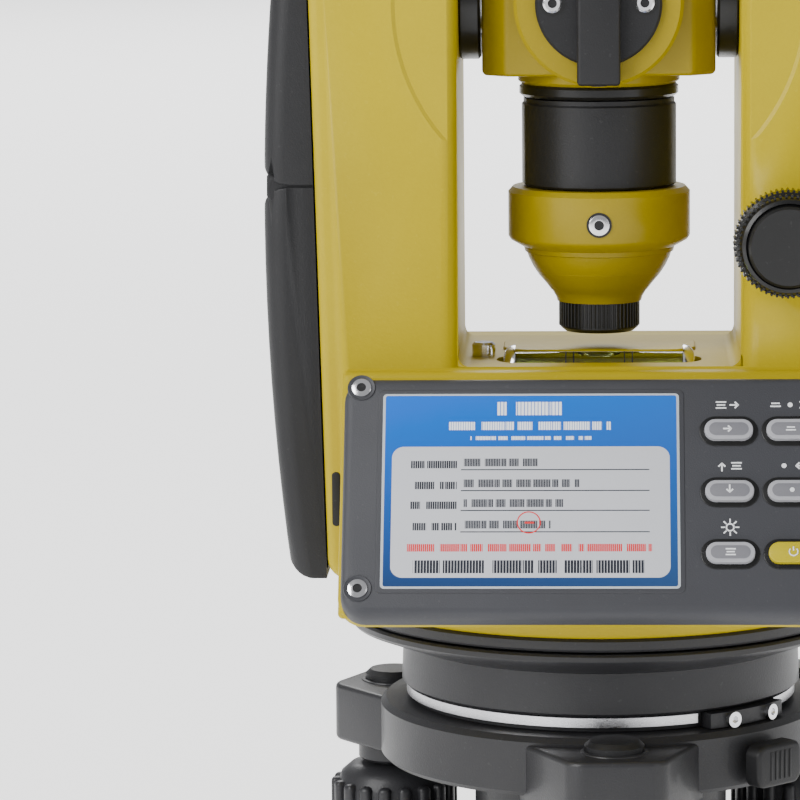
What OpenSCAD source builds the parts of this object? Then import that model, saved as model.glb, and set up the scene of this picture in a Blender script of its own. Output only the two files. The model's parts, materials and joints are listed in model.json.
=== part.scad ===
// Electronic theodolite on its tribrach: every casing, shaft, bush, lens, knob, key and
// screw is its own sub-part.
// Frame: origin at the centre of the tripod socket on the base plate's underside,
// +Z up the vertical axis, the keypad facing -Y, +X to the right of someone reading it.

/* [Base plate and foot screws] */
// Thickness of the base plate that stands on the tripod head
base_plate_t = 7; // [6:0.5:10]
// Wall radius of the 5/8 inch tripod socket
socket_r = 7.94; // [7:0.01:9]
// Thickness of the sheet spring plate on the base plate
spring_plate_t = 1.5; // [1:0.1:2.5]
// Distance from the vertical axis to each foot screw
foot_pitch_r = 62.4; // [58:0.2:75]
// Direction of the front foot screw, degrees from +X
front_ear_angle = -86.8; // [-95:0.1:-80]
// Radius of the foot screws' spindles
spindle_foot_r = 4; // [3:0.1:5]
// Radius of the knurled foot wheels
foot_wheel_r = 17; // [14:0.5:19]
// Height of the knurled foot wheels
foot_wheel_h = 15.4; // [10:0.2:16]
// Grip flutes round each foot wheel
foot_wheel_flutes = 18; // [8:1:30]

/* [Tribrach body] */
// Radius of the tribrach's round barrel
barrel_r = 57.6; // [55:0.5:66]
// Height of the tribrach's top face, where the instrument sits
tribrach_top = 49.8; // [46:0.2:60]
// Depth of the barrel's wall
barrel_h = 15.4; // [12:0.2:18]
// Half the width of an ear
ear_half_w = 11.5; // [9.5:0.25:14]
// How far an ear reaches past its foot screw
ear_reach = 12.6; // [10:0.2:18]
// Radius of the cap over each foot screw
foot_cap_r = 7.5; // [6:0.25:9]
// Radius of the spigot that seats the instrument in the tribrach
spigot_r = 30; // [26:0.5:34]
// Direction of the clamp bracket and the lock lever, degrees from +X
lock_angle = -45; // [-60:1:-35]
// Direction of the round level, degrees from +X
round_level_angle = 93.2; // [80:0.2:105]
// Radius of the round level's cup
round_level_r = 9; // [7:0.25:11]

/* [Lower housing] */
// Radius of the circle housing's drum
drum_r = 52; // [48:0.5:56]
// Radius of the round shell and its dark flange
shell_r = 65.5; // [62:0.5:72]
// Height of the housing's top edge
housing_top = 72.8; // [70:0.2:76]
// Running gap between the fixed housing and the turning flange
flange_gap = 0.6; // [0.4:0.1:1.2]
// Height of the turning flange ring
flange_h = 3.4; // [2:0.2:5]
// Radius of the vertical axis shaft
axis_r = 12; // [10:0.25:14]
// Outer radius of the glass horizontal circle
circle_r = 42; // [34:0.5:44]

/* [Alidade] */
// Height of the telescope's axis above the tripod
tilt_axis_z = 232; // [228:1:250]
// Clear width between the two standards
yoke_gap = 71.4; // [70.5:0.2:80]
// Depth of a standard, front to back
standard_d = 68; // [62:1:74]
// Half width over the standards at their foot
standard_foot_x = 69.2; // [68:0.2:76]
// Outward lean of the standards' outer faces, degrees
standard_lean = 1.39; // [0.5:0.05:2.5]
// Height of the top of the standards
standard_top = 268; // [264:1:290]
// Height of the deck between the standards
deck_z = 140.5; // [136:0.5:142]
// Half the depth of the flat block between the standards
deck_half_d = 30; // [28:0.5:33]
// Wall of the alidade casting
casting_wall = 4; // [3:0.25:6]

/* [Keypad panel] */
// Width of the keypad panel
panel_w = 127; // [124:0.5:129]
// Height of the keypad panel along its slope
panel_h = 64; // [63:0.5:67]
// Thickness of the keypad panel
panel_t = 6; // [5:0.25:7]
// Lean of the panel's face from the vertical, degrees
panel_tilt = 32; // [28:1:34]
// Distance of the panel's centre in front of the vertical axis
panel_y = 66.1; // [65:0.1:70]
// Height of the panel's centre
panel_z = 113.2; // [110:0.2:116]
// Width of a key
key_w = 12; // [10:0.2:13]
// Height of a key
key_h = 5.4; // [4.6:0.1:6.5]
// Spacing of the key columns
key_pitch_x = 15.3; // [14:0.1:17]
// Spacing of the key rows
key_pitch_y = 16.4; // [12:0.1:18]
// How far a key travels
key_travel = 0.8; // [0.4:0.1:1.2]
// Width of the display window
window_w = 66; // [50:0.5:68]
// Height of the display window
window_h = 40; // [30:0.5:44]
// Width of the inspection card stuck over the window
card_w = 73.5; // [72:0.5:76]
// Height of the inspection card
card_h = 52.1; // [48:0.1:54]
// Thickness of the card
card_t = 0.3; // [0.2:0.05:0.6]

/* [Battery] */
// Thickness of the battery case at its widest, outside the standard
battery_bulge = 13.5; // [12:0.25:16]
// Radius of the battery case's curved outer face
battery_curve_r = 700; // [500:10:1200]
// Height of the battery case's lower end
battery_bottom = 86; // [84:0.5:92]
// Height of the battery case's upper end
battery_top = 262; // [255:1:264]
// Depth of the battery case, front to back
battery_d = 62; // [56:1:66]
// How far the battery slides out of its seat
battery_travel = 30; // [15:1:40]

/* [Telescope] */
// Half width of the telescope's centre block
block_half_w = 29.75; // [27:0.25:31]
// Height of the centre block
block_h = 38; // [34:0.5:40]
// Depth of the centre block
block_d = 40; // [36:0.5:42]
// Radius of the trunnion shafts
trunnion_r = 9; // [7:0.25:10]
// Radius of the collar of each trunnion bush
trunnion_collar_r = 15.6; // [15:0.2:17]
// Outer radius of the focus tube inside the ring
focus_tube_r = 16; // [15:0.25:17]
// Radius of the focus ring
focus_ring_r = 20; // [19:0.25:22]
// Length of the focus ring
focus_ring_h = 22.6; // [20:0.2:26]
// Radius of the eyepiece cover's band
cover_r = 23.5; // [22:0.25:25]
// Radius of the eyepiece's focusing ring
eyepiece_r = 10.5; // [10:0.25:12]
// Length of the eyepiece ring outside the cover
eyepiece_h = 7.4; // [5:0.2:8]
// Clear aperture of the objective, as a radius
aperture_r = 22.5; // [20:0.25:23]
// Outer radius of the objective barrel
objective_r = 26; // [25:0.25:28]
// Length of the objective barrel above the block
objective_h = 45; // [40:0.5:50]

/* [Clamps and plummet] */
// Radius of the clamp rings
clamp_ring_r = 13.7; // [12:0.1:15]
// Width of the clamp rings
clamp_ring_w = 8; // [6:0.25:10]
// Radius of the tangent knobs
tangent_r = 12.8; // [10:0.1:14]
// Width of the tangent knobs
tangent_w = 7; // [5:0.25:9]
// Sideways place of the vertical clamp
vertical_clamp_x = 47; // [46:0.5:52]
// Height of the vertical clamp
vertical_clamp_z = 172.7; // [165:0.1:180]
// Height of the horizontal clamp
horizontal_clamp_z = 110; // [106:0.5:120]
// Radius of the optical plummet's eyepiece
plummet_r = 8; // [6:0.25:9]

/* [Handle] */
// Underside of the carrying handle's bar
handle_under_z = 322; // [320:1:345]
// Thickness of the handle's bar
handle_t = 18; // [12:0.5:22]
// Depth of the handle, front to back
handle_d = 22; // [16:0.5:28]
// Half the length of the handle's bar
handle_half_w = 62; // [56:0.5:66]

/* [Fits] */
// Radial clearance of a turning or sliding fit
running_fit = 0.05; // [0.02:0.01:0.1]
// Clearance of parts that are fixed together
seat_fit = 0.02; // [0.01:0.01:0.05]
// Open gap between parts that move past each other
moving_gap = 0.4; // [0.3:0.05:0.8]
// Shank radius of the small screws
screw_r = 1.45; // [1.2:0.05:1.6]
// Head radius of the small screws
screw_head_r = 2; // [1.8:0.05:2.4]

/* [Hidden] */
$fn = 64;
eps = 0.01;

yellow = [0.76, 0.67, 0.12];
dark = [0.2, 0.2, 0.21];
panel_grey = [0.37, 0.37, 0.4];
black = [0.07, 0.07, 0.08];
steel = [0.72, 0.72, 0.74];
bronze = [0.72, 0.53, 0.26];
glass = [0.7, 0.85, 0.9, 0.6];

// Heights that stack up from the tripod
foot_pin_depth = 4;
foot_wheel_z = base_plate_t + spring_plate_t + 1.6;
barrel_z = tribrach_top - barrel_h;
ear_top = tribrach_top - 2;
ear_bottom = barrel_z - 2;
pillar_bottom = foot_wheel_z + foot_wheel_h + moving_gap + 0.3;
cap_seat = ear_top - 7;
cap_top = tribrach_top + 1.2;
hub_bottom = base_plate_t + spring_plate_t + 4;
spigot_bottom = tribrach_top - 14;
drum_bottom = tribrach_top + 4.4;
cone_bottom = housing_top - 7.5;
cavity_floor = drum_bottom + 2.4;
flange_z = housing_top + flange_gap;
frame_bottom = flange_z + flange_h;

// Turned and flat sizes that several parts share
foot_angles = [for (i = [0:2]) front_ear_angle + 120 * i];
pillar_r = 9.5;
ear_root_half_w = barrel_r * 0.4;
hub_r = 33;
plummet_path_r = 9;
band_r = drum_r - 1.2;
step_r = drum_r - 2.5;
bush_r = 20;
bush_boss_r = 16;
bush_flange_r = 24;
circle_t = 2.5;
spindle_flange_r = 22;
housing_cavity_r = drum_r - 6;
round_level_pitch = barrel_r + round_level_r + 0.5;
lever_pivot_r = 4;
lever_z = barrel_z + 6.4;
lever_w = 16;

// Alidade casting
casting_bottom = frame_bottom + 5.2;
cavity_top = deck_z - 14.5;
body_half_w = panel_w / 2 + 0.9;
wedge_low = panel_h / 2 - 1.5;
wedge_high = panel_h / 2 + 14;
panel_r = 6;
opening_w = panel_w - 17;
opening_h = panel_h - 16;
screw_u = panel_w / 2 - 4.2;
screw_v_top = panel_h / 2 - 3;
screw_v_low = -panel_h / 2 + 7.2;
window_u = -17.05;
card_v = 1.15;
key_u = 31.9;
key_v = 17;
key_under = 4.4;
key_proud = 1.6;
board_w = -panel_t - 5;
board_t = 1.6;
standard_low = battery_bottom;
pocket_low = deck_z + 11.5;
pocket_high = standard_top - 18;
pocket_half_d = standard_d / 2 - casting_wall;
pocket_x = yoke_gap / 2 + 5;
cover_plate_t = 2;

// Telescope heights
block_low = tilt_axis_z - block_h / 2 ;
block_high = tilt_axis_z + block_h / 2;
neck_low = block_low - 2.8;
collar_h = 3.4;
ring_top = neck_low - collar_h - 0.3;
ring_low = ring_top - focus_ring_h;
cover_top = ring_low - 0.3;
band_low = cover_top - 13.6;
cover_low = cover_top - 29.9;
tube_low = cover_top - 11.6;
eyepiece_top = cover_low - 0.3;
tube_bore = focus_tube_r - 3;
boss_r = 21.4;
boss_y = 26;
sight_t = 2;
objective_top = block_high + objective_h;
lens_seat = objective_top - 8;
trunnion_end = pocket_x + 15.3;
bush_outer_r = trunnion_r + 5;
vertical_circle_r = min(pocket_half_d - 3, pocket_high - tilt_axis_z - 1);

// Level tube
level_y = -17;
level_r = 6.4;
level_axis_z = deck_z - 2.7;
level_left = -24.6;
level_right = 24.4;
level_window_left = -21.8;
level_window_right = 21.6;
level_vial_r = 4.6;
level_screw_x = -29.8;

// Clamps
clamp_sleeve_r = 6;
clamp_shaft_r = 4;
clamp_boss_w = 3;
horizontal_clamp_y = -15;
plummet_y = 15;

// Battery
battery_gap = moving_gap;
battery_x = standard_foot_x + 2.2 + battery_bulge;
battery_mid_z = battery_bottom + 92;
battery_wall = 2;
cell_r = 4.15;
cell_l = 42.5;
latch_w = 5;
latch_d = 18;
latch_h = 8;
latch_travel = 3;

// ---------- shared shapes ----------

// A rectangle with round corners, centred
module rounded_rect(w, h, r) {
    square([w - 2 * r, h], center = true);
    square([w, h - 2 * r], center = true);
    for (x = [-1, 1])
        for (y = [-1, 1])
            translate([x * (w / 2 - r), y * (h / 2 - r)])
                circle(r);
}

// A ring standing on z
module ring(r_out, r_in, z, h) {
    translate([0, 0, z])
        difference() {
            cylinder(r = r_out, h = h);
            translate([0, 0, -1])
                cylinder(r = r_in, h = h + 2);
        }
}

// A bar along one direction of the plan, used for ears and lugs
module plan_bar(r_from, r_to, half_w, corner) {
    translate([(r_from + r_to) / 2, 0])
        rounded_rect(r_to - r_from, 2 * half_w, corner);
}

// Outline of a tribrach ear, wide at its root and narrow at the foot screw
module ear_plan() {
    hull() {
        translate([hub_r, -ear_root_half_w])
            square([barrel_r * 0.88 - hub_r, 2 * ear_root_half_w]);
        for (side = [-1, 1])
            translate([foot_pitch_r + ear_reach - 5, side * (ear_half_w - 5)])
                circle(5);
    }
}

// Three-cornered plate outline round the foot screws
module triangle_plate(corner_r) {
    hull()
        for (a = foot_angles)
            rotate(a)
                translate([foot_pitch_r, 0])
                    circle(corner_r);
}

module at_feet() {
    for (a = foot_angles)
        rotate(a)
            translate([foot_pitch_r, 0, 0])
                children();
}

// A pan head screw with a hexagon socket: head above z 0, shank below it
module screw(length, head_r = screw_head_r, shank_r = screw_r) {
    difference() {
        union() {
            cylinder(r = head_r, h = head_r * 0.75);
            translate([0, 0, -length])
                cylinder(r = shank_r, h = length + eps);
        }
        translate([0, 0, head_r * 0.3])
            cylinder(r = head_r * 0.5, h = head_r, $fn = 6);
    }
}

// The hole that a screw passes through or bites in
module screw_bore(length, shank_r = screw_r) {
    translate([0, 0, -length])
        cylinder(r = shank_r + running_fit, h = length + 1);
}

// Local frame of the panel's face: x across, y up the slope, z out of the face
module on_panel() {
    translate([0, -panel_y, panel_z])
        rotate([90 - panel_tilt, 0, 0])
            children();
}

module on_rear_panel() {
    rotate(180)
        on_panel()
            children();
}

// Local frame of the right standard's leaning outer face: x out, z up the face
module on_right_face() {
    translate([standard_foot_x, 0, standard_low])
        rotate([0, standard_lean, 0])
            children();
}

module on_left_face() {
    mirror([1, 0, 0])
        on_right_face()
            children();
}

module at_panel_screws() {
    for (u = [-screw_u, screw_u])
        for (v = [screw_v_low, screw_v_top])
            translate([u, v, 0])
                children();
}

module at_cover_screws() {
    for (y = [-1, 1])
        for (z = [pocket_low - 3.5, pocket_high + 3.5])
            translate([0, y * (pocket_half_d - 4), z - standard_low])
                rotate([0, 90, 0])
                    children();
}

// ---------- base plate and foot screws ----------

module base_plate() {
    color(black)
        difference() {
            linear_extrude(base_plate_t)
                triangle_plate(13);
            translate([0, 0, -1])
                cylinder(r = socket_r, h = base_plate_t + 2);
            at_feet()
                translate([0, 0, base_plate_t - foot_pin_depth])
                    cylinder(r = spindle_foot_r + running_fit, h = foot_pin_depth + 1);
            at_plate_screws()
                screw_bore(5.5);
        }
}

module at_plate_screws() {
    for (a = foot_angles)
        rotate(a + 60)
            translate([30, 0, base_plate_t + spring_plate_t])
                children();
}

module spring_plate() {
    color(steel)
        difference() {
            translate([0, 0, base_plate_t])
                linear_extrude(spring_plate_t)
                    triangle_plate(10);
            translate([0, 0, base_plate_t - 1])
                cylinder(r = 20, h = spring_plate_t + 2);
            at_feet()
                translate([0, 0, base_plate_t - 1])
                    cylinder(r = spindle_foot_r + moving_gap, h = spring_plate_t + 2);
            at_plate_screws()
                screw_bore(5.5);
        }
}

module tribrach_screws() {
    color(steel) {
        at_plate_screws()
            screw(5);
        at_bracket_screws()
            screw(3.6);
    }
}

// One levelling screw: spindle with its knurled wheel fixed on it
module foot_screw(index) {
    wheel_top = foot_wheel_z + foot_wheel_h;
    rotate(foot_angles[index])
        translate([foot_pitch_r, 0, 0]) {
            color(steel)
                translate([0, 0, base_plate_t - foot_pin_depth + moving_gap])
                    cylinder(r = spindle_foot_r, h = cap_top - 4.2 - base_plate_t + foot_pin_depth);
            color(dark)
                difference() {
                    rotate_extrude()
                        polygon([
                            [0, foot_wheel_z],
                            [foot_wheel_r - 2, foot_wheel_z],
                            [foot_wheel_r, foot_wheel_z + 2],
                            [foot_wheel_r, foot_wheel_z + foot_wheel_h * 0.66],
                            [foot_wheel_r - 1.6, wheel_top - 2.4],
                            [foot_wheel_r - 5.5, wheel_top - 0.5],
                            [spindle_foot_r + 4, wheel_top],
                            [0, wheel_top]
                        ]);
                    for (i = [1:foot_wheel_flutes])
                        rotate(i * 360 / foot_wheel_flutes)
                            translate([foot_wheel_r + 0.9, 0, foot_wheel_z - 1])
                                cylinder(r = 1.7, h = foot_wheel_h * 0.55 + 1, $fn = 24);
                }
        }
}

// ---------- tribrach ----------

module tribrach_body() {
    color(dark)
        difference() {
            union() {
                rotate_extrude()
                    polygon([
                        [spigot_r - 5, barrel_z],
                        [barrel_r, barrel_z],
                        [barrel_r, tribrach_top - 1.2],
                        [barrel_r - 1.2, tribrach_top],
                        [spigot_r - 5, tribrach_top]
                    ]);
                translate([0, 0, hub_bottom])
                    cylinder(r = hub_r, h = barrel_z - hub_bottom + 1);
                for (a = foot_angles)
                    rotate(a) {
                        translate([0, 0, ear_bottom])
                            linear_extrude(ear_top - ear_bottom)
                                ear_plan();
                        translate([foot_pitch_r, 0, pillar_bottom])
                            cylinder(r = pillar_r, h = ear_bottom - pillar_bottom + 1);
                    }
                rotate(round_level_angle)
                    translate([0, 0, barrel_z + 1])
                        linear_extrude(5)
                            plan_bar(hub_r + 15, round_level_pitch + round_level_r,
                                     round_level_r, round_level_r - eps);
            }
            translate([0, 0, spigot_bottom])
                cylinder(r = spigot_r, h = tribrach_top);
            translate([0, 0, hub_bottom - 1])
                cylinder(r = spigot_r - 8, h = tribrach_top);
            difference() {
                ring(barrel_r - 5, hub_r + 3, barrel_z - 1, barrel_h - 3);
                for (a = foot_angles)
                    rotate(a)
                        translate([0, -ear_root_half_w, 0])
                            cube([barrel_r, 2 * ear_root_half_w, tribrach_top]);
            }
            at_feet() {
                translate([0, 0, pillar_bottom - 1])
                    cylinder(r = spindle_foot_r + running_fit, h = tribrach_top);
                translate([0, 0, cap_seat])
                    cylinder(r = foot_cap_r + seat_fit, h = tribrach_top);
            }
            lock_place()
                cylinder(r = lever_pivot_r + running_fit, h = 60, center = true);
        }
}

module foot_caps() {
    color(black)
        at_feet()
            difference() {
                rotate_extrude()
                    polygon([
                        [0, cap_seat],
                        [foot_cap_r, cap_seat],
                        [foot_cap_r, cap_top - 1.2],
                        [foot_cap_r - 1.2, cap_top],
                        [0, cap_top]
                    ]);
                translate([0, 0, cap_seat - 1])
                    cylinder(r = spindle_foot_r + moving_gap, h = cap_top - cap_seat - 1.2);
            }
}

module round_level_cup() {
    color(black)
        rotate(round_level_angle)
            translate([round_level_pitch, 0, barrel_z + 6])
                difference() {
                    cylinder(r = round_level_r, h = 7);
                    translate([0, 0, 1.5])
                        cylinder(r = round_level_r - 1.5, h = 7);
                }
}

module round_level_vial() {
    color(glass)
        rotate(round_level_angle)
            translate([round_level_pitch, 0, barrel_z + 7.5 + seat_fit])
                cylinder(r = round_level_r - 1.5 - seat_fit, h = 5);
}

// Local frame of the lock lever's pivot: z runs outwards along the barrel's radius
module lock_place() {
    rotate(lock_angle)
        translate([barrel_r, 0, lever_z])
            rotate([0, 90, 0])
                children();
}

// Lever that turns on a radial pin to lock the instrument in the tribrach
module lock_lever() {
    color(black)
        lock_place() {
            translate([0, 0, -9])
                cylinder(r = lever_pivot_r, h = 12);
            translate([0, 0, 2.2])
                linear_extrude(4.6)
                    rounded_rect(11, lever_w, 3);
        }
}

// ---------- lower housing, fixed in the tribrach ----------

module circle_housing() {
    color(dark)
        rotate_extrude()
            polygon([
                [bush_r, spigot_bottom + 1],
                [spigot_r - seat_fit, spigot_bottom + 1],
                [spigot_r - seat_fit, tribrach_top],
                [step_r, tribrach_top],
                [step_r, drum_bottom],
                [drum_r, drum_bottom],
                [drum_r - 0.4, cone_bottom],
                [shell_r, housing_top - 2.2],
                [shell_r, housing_top],
                [housing_cavity_r, housing_top],
                [housing_cavity_r, cavity_floor],
                [bush_r, cavity_floor]
            ]);
}

module clamp_band() {
    color(steel)
        rotate(lock_angle + 16)
            rotate_extrude(angle = 328)
                translate([step_r + seat_fit, tribrach_top + 1.5])
                    square([band_r - step_r - seat_fit, 2.4]);
}

// Black block that joins the ends of the clamp band
module clamp_bracket() {
    color(black)
        difference() {
            rotate(lock_angle - 14)
                rotate_extrude(angle = 28)
                    translate([step_r + seat_fit, tribrach_top + 0.3])
                        square([4.6, 3.8]);
            at_bracket_screws()
                screw_bore(8);
        }
}

module at_bracket_screws() {
    for (a = [-7.2, 7.2])
        rotate(lock_angle + a)
            translate([step_r + 4.65, 0, tribrach_top + 2.2])
                rotate([0, 90, 0])
                    children();
}

module axis_bush() {
    color(bronze)
        rotate_extrude()
            polygon([
                [axis_r + running_fit, spigot_bottom + 1],
                [bush_r - seat_fit, spigot_bottom + 1],
                [bush_r - seat_fit, cavity_floor],
                [bush_flange_r, cavity_floor],
                [bush_flange_r, cavity_floor + 3],
                [bush_boss_r, cavity_floor + 3],
                [bush_boss_r, cavity_floor + 8],
                [axis_r + running_fit, cavity_floor + 8]
            ]);
}

module horizontal_circle() {
    color(glass)
        ring(circle_r, bush_boss_r + seat_fit, cavity_floor + 3, circle_t);
}

// ---------- alidade ----------

module axis_spindle() {
    color(steel)
        difference() {
            union() {
                translate([0, 0, spigot_bottom + 3])
                    cylinder(r = axis_r, h = flange_z - spigot_bottom);
                translate([0, 0, flange_z])
                    cylinder(r = spindle_flange_r, h = flange_h);
            }
            cylinder(r = axis_r - 5, h = frame_bottom + 1);
        }
}

module flange_ring() {
    color(black)
        rotate_extrude()
            polygon([
                [spindle_flange_r + seat_fit, flange_z],
                [shell_r - 0.6, flange_z],
                [shell_r, flange_z + 0.6],
                [shell_r, frame_bottom],
                [spindle_flange_r + seat_fit, frame_bottom]
            ]);
}

// One sloping front of the casting, grown inwards by a wall when it is the cavity
module wedge(wall) {
    bottom = casting_bottom + wall;
    top = wall > 0 ? cavity_top : deck_z;
    high = wedge_high - wall;
    low = wedge_low - wall;
    intersection() {
        on_panel()
            translate([0, (high - low) / 2, -panel_t - wall - 70])
                linear_extrude(70)
                    rounded_rect(2 * (body_half_w - wall), high + low, panel_r);
        translate([-body_half_w, -2 * panel_y, bottom])
            cube([2 * body_half_w, 2 * panel_y - wall, top - bottom]);
    }
}

// One standard, as the outline seen from the front pulled through its depth
module standard() {
    foot_r = 5;
    top_r = 12;
    foot_x = standard_foot_x + tan(standard_lean) * foot_r;
    top_x = standard_foot_x + tan(standard_lean) * (standard_top - top_r - standard_low);
    rotate([90, 0, 0])
        translate([0, 0, -standard_d / 2])
            linear_extrude(standard_d)
                hull() {
                    translate([yoke_gap / 2, standard_low])
                        square([1, 10]);
                    translate([foot_x - foot_r / cos(standard_lean), standard_low + foot_r])
                        circle(foot_r);
                    translate([top_x - top_r / cos(standard_lean), standard_top - top_r])
                        circle(top_r);
                    translate([yoke_gap / 2 + 3, standard_top - 3])
                        circle(3);
                }
}

module alidade_frame() {
    color(yellow)
        difference() {
            union() {
                translate([0, 0, frame_bottom])
                    cylinder(r = shell_r, h = casting_bottom - frame_bottom + 2);
                translate([-body_half_w + 1, -deck_half_d, casting_bottom])
                    cube([2 * body_half_w - 2, 2 * deck_half_d, deck_z - casting_bottom]);
                wedge(0);
                rotate(180)
                    wedge(0);
                standard();
                mirror([1, 0, 0])
                    standard();
                vertical_clamp_place()
                    cylinder(r = clamp_ring_r - 2.5, h = clamp_boss_w);
                horizontal_clamp_place()
                    translate([0, 0, -3])
                        cylinder(r = clamp_ring_r - 2.5, h = clamp_boss_w + 3);
            }
            casting_cavities();
            casting_bores();
        }
}

module casting_cavities() {
    inner = body_half_w - casting_wall - 1;
    translate([-inner, -deck_half_d, casting_bottom + casting_wall])
        cube([2 * inner, 2 * deck_half_d, cavity_top - casting_bottom - casting_wall]);
    wedge(casting_wall);
    rotate(180)
        wedge(casting_wall);
    for (turn = [0, 180])
        rotate(turn)
            on_panel()
                translate([0, 0, -panel_t - casting_wall - 1])
                    linear_extrude(casting_wall + 2)
                        rounded_rect(opening_w, opening_h, 4);
    for (side = [0, 1])
        mirror([side, 0, 0])
            translate([pocket_x, -pocket_half_d, pocket_low])
                cube([60, 2 * pocket_half_d, pocket_high - pocket_low]);
}

module casting_bores() {
    translate([0, 0, frame_bottom - 1])
        cylinder(r = axis_r - 5, h = 20);
    translate([0, 0, tilt_axis_z])
        rotate([0, 90, 0])
            cylinder(r = bush_outer_r + seat_fit, h = 2 * pocket_x + 2, center = true);
    vertical_clamp_place()
        translate([0, 0, -casting_wall - 1])
            cylinder(r = clamp_sleeve_r + running_fit, h = 30);
    horizontal_clamp_place()
        translate([0, 0, -14])
            cylinder(r = clamp_sleeve_r + running_fit, h = 30);
    plummet_place()
        translate([0, 0, -14])
            cylinder(r = plummet_r + seat_fit, h = 30);
    level_slot();
    translate([level_screw_x, level_y + 7, deck_z - 6])
        cylinder(r = screw_r + running_fit, h = 10);
    for (turn = [0, 180])
        rotate(turn)
            on_panel()
                at_panel_screws()
                    translate([0, 0, -2.2])
                        screw_bore(10);
    on_right_face()
        at_cover_screws()
            screw_bore(6);
    at_handle_screws()
        screw_bore(13, 2);
}

// Trough in the deck that the level tube lies in
module level_slot() {
    translate([level_left - 0.3, level_y - level_r - 0.3, level_axis_z - level_r - 0.3])
        cube([level_right - level_left + 0.6, 2 * level_r + 0.6, 3 * level_r]);
}

module right_cover() {
    color(yellow)
        on_right_face()
            difference() {
                translate([0, 0, (pocket_low + pocket_high) / 2 - standard_low])
                    rotate([0, 90, 0])
                        linear_extrude(cover_plate_t)
                            rounded_rect(pocket_high - pocket_low + 14, 2 * pocket_half_d + 2, 8);
                at_cover_screws()
                    translate([0, 0, cover_plate_t])
                        screw_bore(9);
            }
}

// Outline and rim of the two sloping covers
module panel_blank() {
    bevel = 2.2;
    difference() {
        translate([0, 0, -panel_t])
            linear_extrude(panel_t)
                rounded_rect(panel_w, panel_h, panel_r);
        at_panel_screws() {
            translate([0, 0, -2.2])
                cylinder(r = screw_head_r + 0.8, h = 4);
            screw_bore(panel_t + 1);
        }
        for (side = [-1, 1])
            translate([side * panel_w / 2, 0, 0])
                rotate([0, side * 32, 0])
                    translate([0, 0, bevel / 2 + 0.35])
                        cube([8, panel_h + 2, bevel], center = true);
    }
}

module keypad_panel() {
    color(panel_grey)
        on_panel()
            difference() {
                union() {
                    panel_blank();
                    for (u = [-44, 44])
                        for (v = [-18, 18])
                            translate([u, v, board_w + board_t])
                                cylinder(r = 2.5, h = -panel_t - board_w - board_t + 1);
                }
                translate([window_u, card_v, -2.4])
                    linear_extrude(4)
                        rounded_rect(window_w + 4, window_h + 4, 2);
                translate([window_u, card_v, -panel_t - 1])
                    linear_extrude(panel_t)
                        rounded_rect(window_w, window_h, 1);
                for (i = [0:5])
                    at_key(i)
                        translate([0, 0, -panel_t - 1])
                            linear_extrude(panel_t + 2)
                                key_outline(0.3);
            }
}

module rear_cover() {
    color(panel_grey)
        on_rear_panel()
            difference() {
                panel_blank();
                for (v = [-9, 0, 9])
                    translate([0, v, -1.2])
                        linear_extrude(2)
                            rounded_rect(panel_w - 34, 3, 1.4);
            }
}

module case_screws() {
    color(steel) {
        for (turn = [0, 180])
            rotate(turn)
                on_panel()
                    at_panel_screws()
                        translate([0, 0, -2.2])
                            screw(8);
        on_right_face()
            at_cover_screws()
                translate([0, 0, cover_plate_t])
                    screw(6);
    }
}

module display_window() {
    color(glass)
        on_panel()
            translate([window_u, card_v, -2.4])
                linear_extrude(2.4)
                    rounded_rect(window_w + 4 - 0.1, window_h + 4 - 0.1, 2);
}

module display_module() {
    color([0.55, 0.62, 0.5])
        on_panel()
            translate([window_u, card_v, -2.4 - 3])
                linear_extrude(3)
                    rounded_rect(window_w - 0.1, window_h - 0.1, 1);
}

module inspection_card() {
    color([0.25, 0.5, 0.8])
        on_panel()
            translate([window_u, card_v, 0])
                linear_extrude(card_t)
                    rounded_rect(card_w, card_h, 0.8);
}

module main_board() {
    color("darkgreen")
        on_panel()
            translate([0, 0, board_w])
                linear_extrude(board_t)
                    rounded_rect(opening_w - 8, opening_h - 6, 1);
}

module key_outline(grow) {
    rounded_rect(key_w + 2 * grow, key_h + 2 * grow, key_h / 2 + grow - eps);
}

// Keys run down the left column and then the right one
module at_key(index) {
    translate([key_u + floor(index / 3) * key_pitch_x, key_v - (index % 3) * key_pitch_y, 0])
        children();
}

module key(index) {
    color(index == 5 ? yellow : [0.7, 0.7, 0.72])
        on_panel()
            at_key(index)
                translate([0, 0, -key_under])
                    linear_extrude(key_under + key_proud)
                        key_outline(0);
}

module plate_level_tube() {
    color(steel)
        translate([0, level_y, level_axis_z])
            rotate([0, 90, 0])
                difference() {
                    translate([0, 0, level_left])
                        cylinder(r = level_r, h = level_right - level_left);
                    translate([0, 0, level_window_left])
                        cylinder(r = level_vial_r, h = level_window_right - level_window_left);
                    translate([-level_r - 3, 0, (level_window_left + level_window_right) / 2])
                        cube([2 * level_r, 2 * level_r - 2,
                              level_window_right - level_window_left], center = true);
                }
}

module plate_level_vial() {
    color(glass)
        translate([level_window_left + 0.1, level_y, level_axis_z])
            rotate([0, 90, 0])
                cylinder(r = level_vial_r - seat_fit,
                         h = level_window_right - level_window_left - 0.2);
}

// Capstan screw that trims the plate level
module level_screw() {
    color(steel)
        translate([level_screw_x, level_y + 7, deck_z])
            difference() {
                union() {
                    cylinder(r = 3, h = 3.6);
                    translate([0, 0, -5])
                        cylinder(r = screw_r, h = 5 + eps);
                }
                translate([0, 0, 2])
                    rotate([90, 0, 30])
                        cylinder(r = 0.6, h = 10, center = true);
            }
}

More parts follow.
